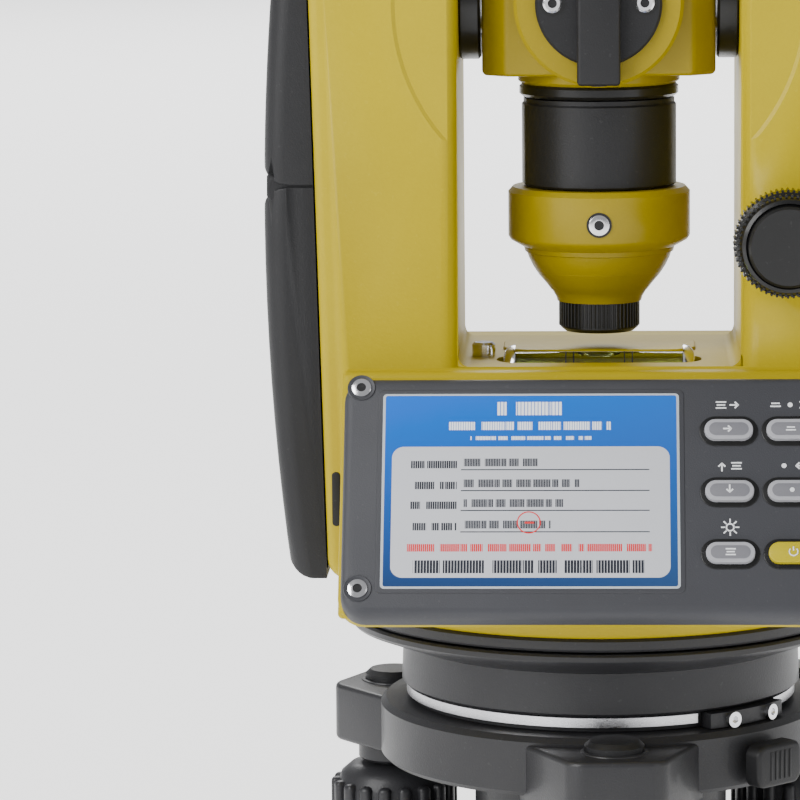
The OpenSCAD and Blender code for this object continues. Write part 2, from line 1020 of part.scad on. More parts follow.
module trunnion_bushes() {
    color(bronze)
        for (side = [0, 1])
            mirror([side, 0, 0])
                translate([0, 0, tilt_axis_z])
                    rotate([0, 90, 0]) {
                        ring(bush_outer_r, trunnion_r + running_fit, yoke_gap / 2 - eps, 5);
                        ring(trunnion_collar_r, trunnion_r + running_fit,
                             block_half_w + moving_gap, yoke_gap / 2 - block_half_w - moving_gap);
                    }
}

// Carrying handle: a bar on two legs whose feet are screwed to the standards
module carry_handle() {
    bar_top = handle_under_z + handle_t;
    leg_t = 14;
    color(dark)
        difference() {
            union() {
                rotate([90, 0, 0])
                    translate([0, 0, -handle_d / 2])
                        linear_extrude(handle_d)
                            difference() {
                                translate([0, (standard_top + bar_top) / 2])
                                    rounded_rect(2 * handle_half_w, bar_top - standard_top, 18);
                                translate([0, (standard_top + handle_under_z) / 2 - 10])
                                    rounded_rect(2 * (handle_half_w - leg_t),
                                                 handle_under_z - standard_top + 20, 12);
                            }
                for (x = [-1, 1])
                    translate([x * (handle_half_w - leg_t), 0, standard_top])
                        linear_extrude(5)
                            rounded_rect(26, handle_d + 8, 4);
            }
            at_handle_screws()
                screw_bore(20, 2);
        }
}

module at_handle_screws() {
    for (x = [-1, 1])
        for (y = [-1, 1])
            translate([x * (handle_half_w - 20), y * (handle_d / 2 + 0.6), standard_top + 5])
                children();
}

module handle_screws() {
    color(steel)
        at_handle_screws()
            screw(10, 2.8, 2);
}

// ---------- battery ----------

module battery_blank(inset) {
    half_d = battery_d / 2 - inset;
    intersection() {
        translate([battery_x - battery_curve_r, 0, battery_mid_z])
            rotate([90, 0, 0])
                cylinder(r = battery_curve_r - inset, h = battery_d, center = true, $fn = 256);
        translate([battery_x - 30, 0, battery_bottom - 10])
            linear_extrude(battery_top - battery_bottom + 20)
                rounded_rect(60 - 2 * inset, 2 * half_d, 7 - inset);
        rotate([90, 0, 0])
            translate([battery_x - 30, (battery_top + battery_bottom) / 2, -battery_d])
                linear_extrude(2 * battery_d)
                    rounded_rect(60, battery_top - battery_bottom - 2 * inset, 7);
        on_right_face()
            translate([battery_gap, -battery_d, -20])
                cube([60, 2 * battery_d, standard_top]);
    }
}

// Moulded case, open towards the standard, with a slot for the latch
module battery_case() {
    color(black)
        mirror([1, 0, 0])
            difference() {
                battery_blank(0);
                intersection() {
                    battery_blank(battery_wall);
                    translate([0, -battery_d / 2, battery_bottom + battery_wall])
                        cube([battery_x, battery_d, battery_top - battery_bottom - latch_h - 10]);
                }
                translate([battery_x - 6 - latch_w - moving_gap, -latch_d / 2 - moving_gap,
                           battery_top - latch_h + 2 - latch_travel - moving_gap])
                    cube([latch_w + 2 * moving_gap, latch_d + 2 * moving_gap, 20]);
                difference() {
                    translate([battery_x - 40, -battery_d, battery_mid_z + 8.1])
                        cube([60, 2 * battery_d, 0.8]);
                    translate([battery_x - battery_curve_r, 0, battery_mid_z])
                        rotate([90, 0, 0])
                            cylinder(r = battery_curve_r - 0.7, h = 3 * battery_d,
                                     center = true, $fn = 256);
                }
            }
}

module battery_cells() {
    color("seagreen")
        mirror([1, 0, 0])
            for (y = [-19, -9.5, 0, 9.5, 19])
                for (level = [0, 1])
                    translate([battery_x - battery_wall - cell_r - 1.7, y,
                               battery_mid_z - cell_l - 0.3 + level * (cell_l + 0.6)])
                        cylinder(r = cell_r, h = cell_l);
}

module battery_latch() {
    color(dark)
        mirror([1, 0, 0])
            translate([battery_x - 6 - latch_w, -latch_d / 2, battery_top - latch_h + 2])
                cube([latch_w, latch_d, latch_h]);
}

// ---------- clamps and plummet ----------

// Local frames: z points out of the casting along the knob's axis
module vertical_clamp_place() {
    translate([vertical_clamp_x, -standard_d / 2, vertical_clamp_z])
        rotate([90, 0, 0])
            children();
}

module horizontal_clamp_place() {
    translate([standard_foot_x + 1.2, horizontal_clamp_y, horizontal_clamp_z])
        rotate([0, 90, 0])
            children();
}

module plummet_place() {
    translate([standard_foot_x, plummet_y, horizontal_clamp_z])
        rotate([0, 90, 0])
            children();
}

// Outer ring of a coaxial clamp, with the sleeve that turns in the casting
module clamp_ring() {
    foot = clamp_boss_w + moving_gap;
    color(black)
        difference() {
            union() {
                rotate_extrude()
                    polygon([
                        [0, foot],
                        [clamp_ring_r - 0.8, foot],
                        [clamp_ring_r, foot + 0.8],
                        [clamp_ring_r, foot + clamp_ring_w - 0.8],
                        [clamp_ring_r - 0.8, foot + clamp_ring_w],
                        [0, foot + clamp_ring_w]
                    ]);
                translate([0, 0, -casting_wall])
                    cylinder(r = clamp_sleeve_r, h = foot + casting_wall + 1);
            }
            cylinder(r = clamp_shaft_r + running_fit, h = 60, center = true);
        }
}

module tangent_knob() {
    foot = clamp_boss_w + clamp_ring_w + 2 * moving_gap;
    color(dark)
        union() {
            rotate_extrude()
                polygon([
                    [0, foot],
                    [tangent_r, foot],
                    [tangent_r, foot + tangent_w - 1],
                    [tangent_r - 1, foot + tangent_w],
                    [tangent_r - 3.2, foot + tangent_w],
                    [tangent_r - 3.6, foot + tangent_w - 0.8],
                    [0, foot + tangent_w - 0.8]
                ]);
            translate([0, 0, -casting_wall - 1])
                cylinder(r = clamp_shaft_r, h = foot + casting_wall + 2);
        }
}

module plummet_tube() {
    color(black)
        plummet_place()
            difference() {
                union() {
                    translate([0, 0, -8])
                        cylinder(r = plummet_r, h = 9);
                    translate([0, 0, 0.9])
                        cylinder(r = plummet_r + 1.5, h = 4);
                }
                translate([0, 0, -9])
                    cylinder(r = plummet_r - 3, h = 20);
            }
}

module plummet_eyepiece() {
    color(dark)
        plummet_place()
            difference() {
                union() {
                    translate([0, 0, -4])
                        cylinder(r = plummet_r - 3 - running_fit, h = 10);
                    rotate_extrude()
                        polygon([
                            [0, 4.9 + moving_gap],
                            [plummet_r + 1, 4.9 + moving_gap],
                            [plummet_r + 1, 10],
                            [plummet_r - 1, 11.5],
                            [0, 11.5]
                        ]);
                }
                translate([0, 0, 9])
                    cylinder(r = 3, h = 5);
            }
}

// ---------- telescope ----------

module telescope_body() {
    chamfer = 6;
    color(yellow)
        difference() {
            union() {
                rotate([90, 0, 0])
                    translate([0, 0, -block_d / 2])
                        linear_extrude(block_d)
                            polygon([
                                [-block_half_w + chamfer, block_low],
                                [block_half_w - chamfer, block_low],
                                [block_half_w, block_low + chamfer],
                                [block_half_w, block_high - chamfer],
                                [block_half_w - chamfer, block_high],
                                [-block_half_w + chamfer, block_high],
                                [-block_half_w, block_high - chamfer],
                                [-block_half_w, block_low + chamfer]
                            ]);
                translate([0, 0, tilt_axis_z])
                    rotate([90, 0, 0])
                        cylinder(r = boss_r, h = 2 * boss_y, center = true);
                translate([0, 0, neck_low])
                    cylinder(r = focus_ring_r + 0.8, h = 8);
                translate([0, 0, tube_low])
                    cylinder(r = focus_tube_r, h = block_low - tube_low + 1);
            }
            translate([-boss_r - 1, -boss_y - 1, block_high])
                cube([2 * boss_r + 2, 2 * boss_y + 2, 10]);
            translate([0, 0, tube_low - 1])
                cylinder(r = tube_bore, h = block_low - tube_low + 2);
            translate([0, 0, block_low + 1])
                cylinder(r = focus_tube_r, h = block_h);
            translate([0, 0, tilt_axis_z])
                rotate([0, 90, 0])
                    cylinder(r = trunnion_r + seat_fit, h = 70, center = true);
            at_sight_screws()
                screw_bore(8);
            at_cover_band_screws()
                screw_bore(12);
        }
}

module at_sight_screws() {
    for (turn = [0, 180])
        for (x = [-11.6, 11.6])
            rotate(turn)
                translate([x, -boss_y - sight_t / 2, tilt_axis_z])
                    rotate([90, 0, 0])
                        children();
}

module at_cover_band_screws() {
    for (turn = [0, 120, 240])
        rotate(turn)
            translate([0, -cover_r + 2, cover_top - 8.1])
                rotate([90, 0, 0])
                    children();
}

module trunnion_shafts() {
    color(steel)
        for (side = [0, 1])
            mirror([side, 0, 0])
                translate([0, 0, tilt_axis_z])
                    rotate([0, 90, 0])
                        ring(trunnion_r, trunnion_r - 4, 18, trunnion_end - 18);
}

module vertical_circle() {
    color(glass)
        translate([0, 0, tilt_axis_z])
            rotate([0, 90, 0])
                ring(vertical_circle_r, trunnion_r + seat_fit, trunnion_end - 5, circle_t);
}

module objective_barrel() {
    color(yellow)
        rotate_extrude()
            polygon([
                [focus_tube_r, block_high],
                [objective_r - 4, block_high],
                [objective_r - 4, block_high + 10],
                [objective_r, block_high + 19],
                [objective_r, objective_top],
                [aperture_r + 0.1, objective_top],
                [aperture_r + 0.1, lens_seat],
                [aperture_r - 1.5, lens_seat],
                [aperture_r - 1.5, block_high + 20],
                [focus_tube_r, block_high + 10]
            ]);
}

module objective_cell() {
    color(black)
        rotate_extrude()
            polygon([
                [aperture_r - 1.5, objective_top],
                [objective_r - 0.6, objective_top],
                [objective_r - 0.6, objective_top + 5],
                [objective_r - 1.6, objective_top + 6],
                [aperture_r, objective_top + 6],
                [aperture_r - 1.5, objective_top + 2]
            ]);
}

module objective_lens() {
    lens_t = 8 - 0.2;
    curve_r = 90;
    color(glass)
        intersection() {
            translate([0, 0, lens_seat + 0.1])
                cylinder(r = aperture_r, h = lens_t);
            translate([0, 0, lens_seat + 0.1 + lens_t - curve_r])
                sphere(r = curve_r, $fn = 128);
        }
}

// Front and rear coarse sights: a disc on the boss with a sight tube across it
module sight_plates() {
    color(black)
        for (turn = [0, 180])
            rotate(turn)
                difference() {
                    union() {
                        translate([0, -boss_y, tilt_axis_z])
                            rotate([90, 0, 0])
                                cylinder(r = trunnion_r + 7, h = sight_t);
                        translate([0, -boss_y - sight_t - 1.2, tilt_axis_z])
                            linear_extrude(41.2, center = true)
                                rounded_rect(10.9, 5.4, 2.4);
                    }
                    translate([0, -boss_y - sight_t - 1.4, tilt_axis_z])
                        cube([6, 1.4, 60], center = true);
                    at_sight_screws() {
                        screw_bore(4);
                        cylinder(r = screw_head_r + 0.6, h = 4);
                    }
                    translate([-40, -boss_y, 0])
                        cube([80, 80, 400]);
                }
}

module telescope_screws() {
    color(steel) {
        at_sight_screws()
            screw(6);
        at_cover_band_screws()
            screw(6);
    }
}

module focus_ring() {
    flutes = 12;
    color(black)
        difference() {
            translate([0, 0, ring_low])
                cylinder(r = focus_ring_r, h = focus_ring_h);
            translate([0, 0, ring_low - 1])
                cylinder(r = focus_tube_r + running_fit, h = focus_ring_h + 2);
            for (i = [1:flutes])
                rotate(i * 360 / flutes)
                    translate([focus_ring_r + 0.7, 0, ring_low + 3])
                        cylinder(r = 1.4, h = focus_ring_h - 5, $fn = 24);
        }
}

module focus_lens() {
    color(glass)
        translate([0, 0, (ring_low + ring_top) / 2 - 4])
            cylinder(r = tube_bore - running_fit, h = 8);
}

module eyepiece_cover() {
    color(yellow)
        difference() {
            rotate_extrude()
                polygon([
                    [focus_tube_r + seat_fit, cover_top],
                    [cover_r - 1.5, cover_top],
                    [cover_r, cover_top - 1.8],
                    [cover_r, band_low + 1.5],
                    [cover_r - 1, band_low],
                    [cover_r - 4.2, band_low - 2.5],
                    [cover_r - 4.6, band_low - 6],
                    [cover_r - 6.4, band_low - 9.5],
                    [cover_r - 10.1, band_low - 12],
                    [eyepiece_r, band_low - 12.8],
                    [eyepiece_r, cover_low],
                    [eyepiece_r - 1.5 + running_fit, cover_low],
                    [eyepiece_r - 1.5 + running_fit, cover_low + 12],
                    [tube_bore, tube_low - seat_fit],
                    [focus_tube_r + seat_fit, tube_low - seat_fit]
                ]);
            at_cover_band_screws() {
                screw_bore(12);
                cylinder(r = screw_head_r + 1.1, h = 8);
            }
        }
}

module eyepiece_ring() {
    color(black)
        difference() {
            union() {
                translate([0, 0, eyepiece_top - eyepiece_h])
                    cylinder(r = eyepiece_r, h = eyepiece_h);
                translate([0, 0, eyepiece_top - 1])
                    cylinder(r = eyepiece_r - 1.5, h = 12);
            }
            translate([0, 0, eyepiece_top - eyepiece_h - 1])
                cylinder(r = eyepiece_r - 4.5, h = 4);
        }
}

base_plate();
spring_plate();
tribrach_screws();
tribrach_body();
foot_caps();
foot_screw(0);  // foot_screw_1
foot_screw(1);  // foot_screw_2
foot_screw(2);  // foot_screw_3
round_level_cup();
round_level_vial();
lock_lever();
circle_housing();
clamp_band();
clamp_bracket();
axis_bush();
horizontal_circle();
axis_spindle();
flange_ring();
alidade_frame();
right_cover();
keypad_panel();
rear_cover();
case_screws();
display_window();
display_module();
inspection_card();
main_board();
key(0);  // key_1
key(1);  // key_2
key(2);  // key_3
key(3);  // key_4
key(4);  // key_5
key(5);  // key_6
plate_level_tube();
plate_level_vial();
level_screw();
trunnion_bushes();
carry_handle();
handle_screws();
battery_case();
battery_cells();
battery_latch();
vertical_clamp_place() clamp_ring();  // vertical_clamp_ring
vertical_clamp_place() tangent_knob();  // vertical_tangent_knob
horizontal_clamp_place() clamp_ring();  // horizontal_clamp_ring
horizontal_clamp_place() tangent_knob();  // horizontal_tangent_knob
plummet_tube();
plummet_eyepiece();
telescope_body();
trunnion_shafts();
vertical_circle();
objective_barrel();
objective_cell();
objective_lens();
sight_plates();
telescope_screws();
focus_ring();
focus_lens();
eyepiece_cover();
eyepiece_ring();
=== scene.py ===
# %% [markdown]
# # An electronic theodolite
# A theodolite is a small telescope that tilts between two standards, while the standards
# turn on a drum that sits in a three-screw tribrach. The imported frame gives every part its
# place, so this lesson only dresses it: each casting and knob gets a finished mesh that
# rides on the body it belongs to. Sizes are written in millimetres and built in metres.

# %% Load the frame
import json
import math

import bmesh
import bpy
from mathutils import Matrix, Vector


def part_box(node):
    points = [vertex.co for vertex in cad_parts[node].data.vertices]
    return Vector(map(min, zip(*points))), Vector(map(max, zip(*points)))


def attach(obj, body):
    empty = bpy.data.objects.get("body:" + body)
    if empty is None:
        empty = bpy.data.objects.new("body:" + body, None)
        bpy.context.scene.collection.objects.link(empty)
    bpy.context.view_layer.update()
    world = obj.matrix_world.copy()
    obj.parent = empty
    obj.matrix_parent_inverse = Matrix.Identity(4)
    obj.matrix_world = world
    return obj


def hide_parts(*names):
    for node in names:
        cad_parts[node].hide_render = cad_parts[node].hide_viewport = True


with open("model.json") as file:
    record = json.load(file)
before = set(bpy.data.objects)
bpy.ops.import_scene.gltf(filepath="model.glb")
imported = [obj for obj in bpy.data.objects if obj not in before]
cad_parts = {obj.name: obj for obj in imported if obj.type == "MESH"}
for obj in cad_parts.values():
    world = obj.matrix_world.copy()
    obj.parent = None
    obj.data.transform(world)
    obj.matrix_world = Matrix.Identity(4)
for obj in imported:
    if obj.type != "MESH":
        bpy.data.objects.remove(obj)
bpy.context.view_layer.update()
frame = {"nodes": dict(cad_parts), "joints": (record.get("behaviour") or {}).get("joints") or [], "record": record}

MM = 0.001

# %% [markdown]
# ## Shader sums as plain expressions
# Every finish below is a little sum of noises and masks. Writing it as Python needs one
# class that wraps a socket, so that `1 - wear` or `grain * 0.3` adds its own Math node.

# %% Wrap a socket so that it can be added up
class Signal:
    """One output socket of a finish, usable in sums."""

    def __init__(self, finish, socket):
        self.finish = finish
        self.socket = socket

    def maths(self, operation, other=0.0, swapped=False):
        pair = (other, self) if swapped else (self, other)
        return self.finish.add("ShaderNodeMath", {"operation": operation},
                               {0: pair[0], 1: pair[1]})

    def __add__(self, other):
        return self.maths("ADD", other)

    def __sub__(self, other):
        return self.maths("SUBTRACT", other)

    def __rsub__(self, other):
        return self.maths("SUBTRACT", other, swapped=True)

    def __mul__(self, other):
        return self.maths("MULTIPLY", other)

    def below(self, limit):
        return self.maths("LESS_THAN", limit)

    def above(self, limit):
        return self.maths("GREATER_THAN", limit)

    def larger(self, other):
        return self.maths("MAXIMUM", other)

    def size(self):
        return self.maths("ABSOLUTE")

    def root(self):
        return self.maths("SQRT")

    def ramp(self, low, high, to_low=0.0, to_high=1.0):
        """This signal from low to high, carried over to a new range and held at its ends."""
        return self.finish.add(
            "ShaderNodeMapRange", {"clamp": True},
            {0: self, 1: low, 2: high, 3: to_low, 4: to_high},
        )


# %% Build one finish
class Finish:
    """A procedural material for one of the instrument's surfaces."""

    def __init__(self, name):
        self.material = bpy.data.materials.new(name)
        self.material.use_nodes = True
        self.tree = self.material.node_tree
        self.shader = self.tree.nodes["Principled BSDF"]

    def add(self, kind, settings=None, values=None, output=0):
        node = self.tree.nodes.new(kind)
        for key, value in (settings or {}).items():
            setattr(node, key, value)
        for key, value in (values or {}).items():
            self.feed(node.inputs[key], value)
        return Signal(self, node.outputs[output])

    def feed(self, socket, value):
        if isinstance(value, Signal):
            self.tree.links.new(value.socket, socket)
        elif isinstance(value, tuple) and len(value) == 3 and socket.type == "RGBA":
            socket.default_value = (*value, 1.0)
        else:
            socket.default_value = value

    def set(self, **values):
        """Sets or links the shader's own sockets, spaces written as underscores."""
        for key, value in values.items():
            self.feed(self.shader.inputs[key.replace("_", " ")], value)
        return self

    def place(self):
        return self.add("ShaderNodeTexCoord", output=3)

    def noise(self, scale, detail=2.0, stretch=None):
        where = self.place()
        if stretch:
            where = self.add("ShaderNodeMapping", {}, {0: where, 3: stretch})
        return self.add("ShaderNodeTexNoise", {}, {"Vector": where, "Scale": scale,
                                                   "Detail": detail})

    def blend(self, mask, first, second):
        """first where mask is 0, second where it is 1, as colours."""
        return self.add("ShaderNodeMix", {"data_type": "RGBA"},
                        {0: mask, 6: first, 7: second}, output=2)

    def bump(self, height, distance):
        normal = self.add("ShaderNodeBump", {}, {"Strength": 1.0, "Distance": distance,
                                                 "Height": height})
        return self.set(Normal=normal)


# %% [markdown]
# ## Painted, moulded and plated finishes
# The casting is sprayed in a yellow enamel with a faint orange peel, the tribrach in a dark
# textured enamel, and the panel and battery are moulded in grained plastic. What tells them
# apart is mostly the size of the grain and how far the gloss wanders, so one function makes
# them all from those few numbers.

# %% Enamels and plastics
def grained(name, colour, shade, rough, grain_scale, grain_depth, coat=0.0, shine=0.3):
    """A sprayed or moulded surface: two tones, wandering gloss, a fine grain and dust."""
    paint = Finish(name)
    drift = paint.noise(22.0, 4.0)
    grain = paint.noise(grain_scale, 3.0)
    specks = paint.noise(900.0, 1.0).ramp(0.70, 0.76)
    tone = (drift * 0.75 + grain * 0.25).ramp(0.35, 0.65)
    base = paint.blend(tone, colour, shade)
    dusty = tuple(min(1.0, 0.06 + channel * 1.15) for channel in colour)
    paint.set(
        Base_Color=paint.blend(specks * 0.12, base, dusty),
        Roughness=drift.ramp(0.3, 0.7, rough - 0.05, rough + 0.08) + grain * 0.06,
        Coat_Weight=coat,
        Coat_Roughness=0.12,
        Specular_IOR_Level=shine,
    )
    return paint.bump(grain + drift * 0.3, grain_depth)


# Name: two tones, roughness, grain scale, grain depth, then coat and shine
PAINTS = {
    "yellow_enamel": ((0.41, 0.315, 0.0), (0.37, 0.28, 0.0), 0.42, 1400.0, 0.00003, 0.05, 0.22),
    # The telescope's copy of the yellow enamel, made darker as painted shade for the telescope
    "shaded_yellow_enamel": ((0.29, 0.215, 0.0), (0.25, 0.185, 0.0), 0.36, 1400.0, 0.00003, 0.08, 0.25),
    "dark_enamel": ((0.022, 0.022, 0.024), (0.016, 0.016, 0.018), 0.40, 2200.0, 0.00007, 0.1),
    "black_plastic": ((0.013, 0.013, 0.014), (0.009, 0.009, 0.010), 0.40, 2600.0, 0.00006),
    "black_anodised": ((0.008, 0.008, 0.008), (0.005, 0.005, 0.005), 0.26, 3000.0, 0.00002,
                       0.15),
    "panel_plastic": ((0.045, 0.046, 0.052), (0.038, 0.039, 0.044), 0.44, 3000.0, 0.00006),
    "key_silver": ((0.34, 0.34, 0.36), (0.29, 0.29, 0.31), 0.38, 3400.0, 0.00002),
    "key_inset": ((0.17, 0.17, 0.185), (0.14, 0.14, 0.155), 0.42, 3400.0, 0.00002),
    "key_yellow": ((0.44, 0.36, 0.004), (0.38, 0.31, 0.003), 0.36, 3400.0, 0.00002),
    "mark_white": ((0.78, 0.79, 0.80), (0.70, 0.71, 0.72), 0.5, 2400.0, 0.00001),
    "olive_band": ((0.30, 0.28, 0.05), (0.25, 0.23, 0.04), 0.4, 1800.0, 0.00003),
    "circuit_board": ((0.02, 0.12, 0.05), (0.03, 0.16, 0.06), 0.3, 500.0, 0.00003),
    "cell_wrap": ((0.03, 0.20, 0.10), (0.02, 0.16, 0.08), 0.3, 800.0, 0.00001),
    "display": ((0.30, 0.36, 0.27), (0.27, 0.33, 0.25), 0.2, 900.0, 0.00001),
}
finishes = {name: grained(name, *numbers) for name, numbers in PAINTS.items()}


# %% [markdown]
# ## Metals
# Screws and the level's tube are nickel plated, the clamp band is drawn steel, and the
# bushes are turned bronze. The drawn and turned ones carry a grain stretched along the cut.

# %% Plated and turned metal
def metal(name, colour, rough, stretch):
    """Bare metal whose fine lines run along the direction in which it was worked."""
    bare = Finish(name)
    lines = bare.noise(900.0, 3.0, stretch=stretch)
    stain = bare.noise(45.0, 3.0)
    dull = tuple(channel * 0.78 for channel in colour)
    bare.set(
        Base_Color=bare.blend(stain.ramp(0.4, 0.75), colour, dull),
        Metallic=1.0,
        Roughness=lines.ramp(0.3, 0.7, rough - 0.05, rough + 0.08) + stain * 0.05,
    )
    return bare.bump(lines, 0.00001)


METALS = {"bright_screws": ((0.80, 0.80, 0.82), 0.14, (1, 1, 1)),
          "steel": ((0.62, 0.62, 0.64), 0.26, (1, 1, 14)),
          "bearing_bronze": ((0.56, 0.39, 0.18), 0.26, (1, 1, 10))}
finishes.update({name: metal(name, *numbers) for name, numbers in METALS.items()})


# %% [markdown]
# ## Glass
# Lenses and vials are clear, each with a faint tint of its own. The tint is only in the
# base colour, so it bakes with the rest.

# %% Lenses, vials and window
def clear(name, tint):
    """Clear glass with a slightly uneven tint."""
    pane = Finish(name)
    cloud = pane.noise(60.0, 2.0)
    deeper = tuple(channel * 0.9 for channel in tint)
    pane.set(
        Base_Color=pane.blend(cloud, tint, deeper),
        Roughness=cloud.ramp(0.3, 0.8, 0.02, 0.05),
        Transmission_Weight=1.0,
        IOR=1.5,
    )
    return pane


TINTS = {"optical_glass": (0.86, 0.90, 0.99), "level_glass": (0.80, 0.93, 0.42),
         "window_glass": (0.90, 0.93, 0.94)}
finishes.update({name: clear(name, tint) for name, tint in TINTS.items()})

# %% [markdown]
# ## Building meshes
# A bmesh starts from a few vertices or a box, and operators do the rest. Nearly everything
# on an instrument is either turned on a lathe or is a block with broken edges, so `turned`,
# `block` and `slab` make most pieces, and `piece` hands a finished bmesh to its body.

# %% Helpers for turned parts and blocks
SHARP = math.radians(33)
ALONG_LIMIT = 0.98       # how straight an edge lies along an axis, as a cosine


def as_data(name, mesh):
    """A bmesh as mesh data. The bmesh is used up."""
    data = bpy.data.meshes.new(name)
    mesh.to_mesh(data)
    mesh.free()
    return data


def placed(name, data):
    """A new object in the scene."""
    made = bpy.data.objects.new(name, data)
    bpy.context.scene.collection.objects.link(made)
    return made


def merged(*parts):
    """Several bmeshes as one."""
    whole = bmesh.new()
    for part in parts:
        shell = as_data("shell", part)
        whole.from_mesh(shell)
        bpy.data.meshes.remove(shell)
    return whole


def moved(mesh, matrix):
    bmesh.ops.transform(mesh, matrix=matrix, verts=mesh.verts)
    if matrix.determinant() < 0:
        bmesh.ops.reverse_faces(mesh, faces=mesh.faces)
    return mesh


def at(x=0.0, y=0.0, z=0.0):
    return Matrix.Translation((x * MM, y * MM, z * MM))


def turn(degrees, axis="Z"):
    return Matrix.Rotation(math.radians(degrees), 4, axis)


def turned(profile, steps=128, ring=False, foot=0.0):
    """A profile of (radius, height above the foot) in millimetres, spun round the z axis."""
    mesh = bmesh.new()
    points = [mesh.verts.new((r * MM, 0, (foot + z) * MM)) for r, z in profile]
    lines = [mesh.edges.new(pair) for pair in zip(points, points[1:])]
    if ring:
        lines.append(mesh.edges.new((points[-1], points[0])))
    bmesh.ops.spin(mesh, geom=points + lines, cent=(0, 0, 0), axis=(0, 0, 1),
                   angle=2 * math.pi, steps=steps, use_merge=True)
    bmesh.ops.remove_doubles(mesh, verts=mesh.verts, dist=1e-7)
    bmesh.ops.recalc_face_normals(mesh, faces=mesh.faces)
    return mesh


def edge_angle(edge):
    return edge.calc_face_angle(0.0) if len(edge.link_faces) == 2 else 0.0


def soften(mesh, radius, segments=3, where=None):
    """Rounds the edges that pass the test, or every sharp one."""
    chosen = [e for e in mesh.edges if edge_angle(e) > SHARP and (where is None or where(e))]
    if chosen:
        bmesh.ops.bevel(mesh, geom=chosen, offset=radius * MM, offset_type="OFFSET",
                        affect="EDGES", segments=segments, profile=0.5, material=-1,
                        clamp_overlap=True)
    return mesh


def runs_along(axis):
    """A test for edges that run along x, y or z (0, 1 or 2)."""
    def test(edge):
        line = (edge.verts[1].co - edge.verts[0].co).normalized()
        return abs(line[axis]) > ALONG_LIMIT
    return test


def block(width, depth, height, radius=0.0, segments=3):
    """A box centred on the origin, sizes in millimetres."""
    mesh = bmesh.new()
    bmesh.ops.create_cube(mesh, size=1.0)
    bmesh.ops.scale(mesh, vec=(width * MM, depth * MM, height * MM), verts=mesh.verts)
    return soften(mesh, radius, segments) if radius else mesh


def slab(width, height, thick, corner, rim=0.0, corner_segments=8, rim_segments=3):
    """A flat plate with round corners, its back on z 0 and its front edge broken."""
    mesh = moved(block(width, height, thick), at(z=thick / 2))
    soften(mesh, corner, corner_segments, runs_along(2))
    if rim:
        top = thick * MM - 1e-6
        soften(mesh, rim, rim_segments, lambda e: all(v.co.z > top for v in e.verts))
    return mesh


def pull(mesh, faces, depth):
    """Draws flat faces out along y into a closed solid."""
    pulled = bmesh.ops.extrude_face_region(mesh, geom=faces)["geom"]
    bmesh.ops.translate(mesh, vec=(0, depth * MM, 0),
                        verts=[v for v in pulled if isinstance(v, bmesh.types.BMVert)])
    bmesh.ops.recalc_face_normals(mesh, faces=mesh.faces)
    return mesh


def cut_above(mesh, z, sides):
    """Cuts off what is above a height in metres, and closes the cut."""
    bmesh.ops.bisect_plane(mesh, geom=mesh.verts[:] + mesh.edges[:] + mesh.faces[:],
                           plane_co=(0, 0, z), plane_no=(0, 0, 1), clear_outer=True)
    bmesh.ops.holes_fill(mesh, edges=mesh.edges[:], sides=sides)


def copies(mesh, places):
    """The mesh once for each matrix. The mesh itself is used up."""
    made = [moved(mesh.copy(), place) for place in places]
    mesh.free()
    return made


def prism(outline, depth):
    """A closed outline of (x, z) in millimetres pulled through depth along y."""
    mesh = bmesh.new()
    points = [mesh.verts.new((x * MM, -depth / 2 * MM, z * MM)) for x, z in outline]
    return pull(mesh, [mesh.faces.new(points)], depth)


def knurl(radius, low, high, count, wide=0.5, tall=0.35):
    """Fine ridges along z round a knob."""
    ridges = []
    for i in range(count):
        ridge = soften(block(tall * 2, wide, high - low), tall * 0.45, 1, runs_along(2))
        ridges.append(moved(ridge, turn(360 * i / count) @ at(radius, 0, (high + low) / 2)))
    return merged(*ridges)


def piece(name, mesh, body, finish, replaces=()):
    """Makes the object, smooths its faces except at sharp edges, and hands it to its body."""
    for face in mesh.faces:
        face.smooth = True
    for edge in mesh.edges:
        edge.smooth = edge_angle(edge) < SHARP
    made = placed(name, as_data(name, mesh))
    made.data.materials.append(finishes[finish].material)
    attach(made, body)
    if replaces:
        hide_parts(*replaces)
    return made


def centre_of(node):
    low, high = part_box(node)
    return (low + high) / 2 / MM


def span(node):
    """Lowest and highest corner of a node, in millimetres."""
    low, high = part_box(node)
    return low / MM, high / MM


def joint(name):
    return next(j for j in frame["joints"] if j["name"] == name)


# %% [markdown]
# ## Finishes for the parts that stay as they are
# Many inner parts already have their true shape in the frame. Each of them takes the finish
# that the record names for it.

# %% Give every frame node its finish
slot_of = {s["node"]: s["material_slot"] for s in frame["record"]["subparts"]}
for node, part in frame["nodes"].items():
    part.data.materials.clear()
    wanted = slot_of[node]
    part.data.materials.append(finishes.get(wanted, finishes["mark_white"]).material)
print(len(slot_of), "nodes painted")

# %% [markdown]
# ## The yellow casting
# Standards, deck and sloping fronts are one aluminium casting. A casting has no sharp edge:
# its corners are rounded at a few millimetres, and that is what catches the light. Each mass
# is built as a block and its own edges are rounded. They are merged into one piece, and the
# level's trough is cut out of the deck with a boolean.

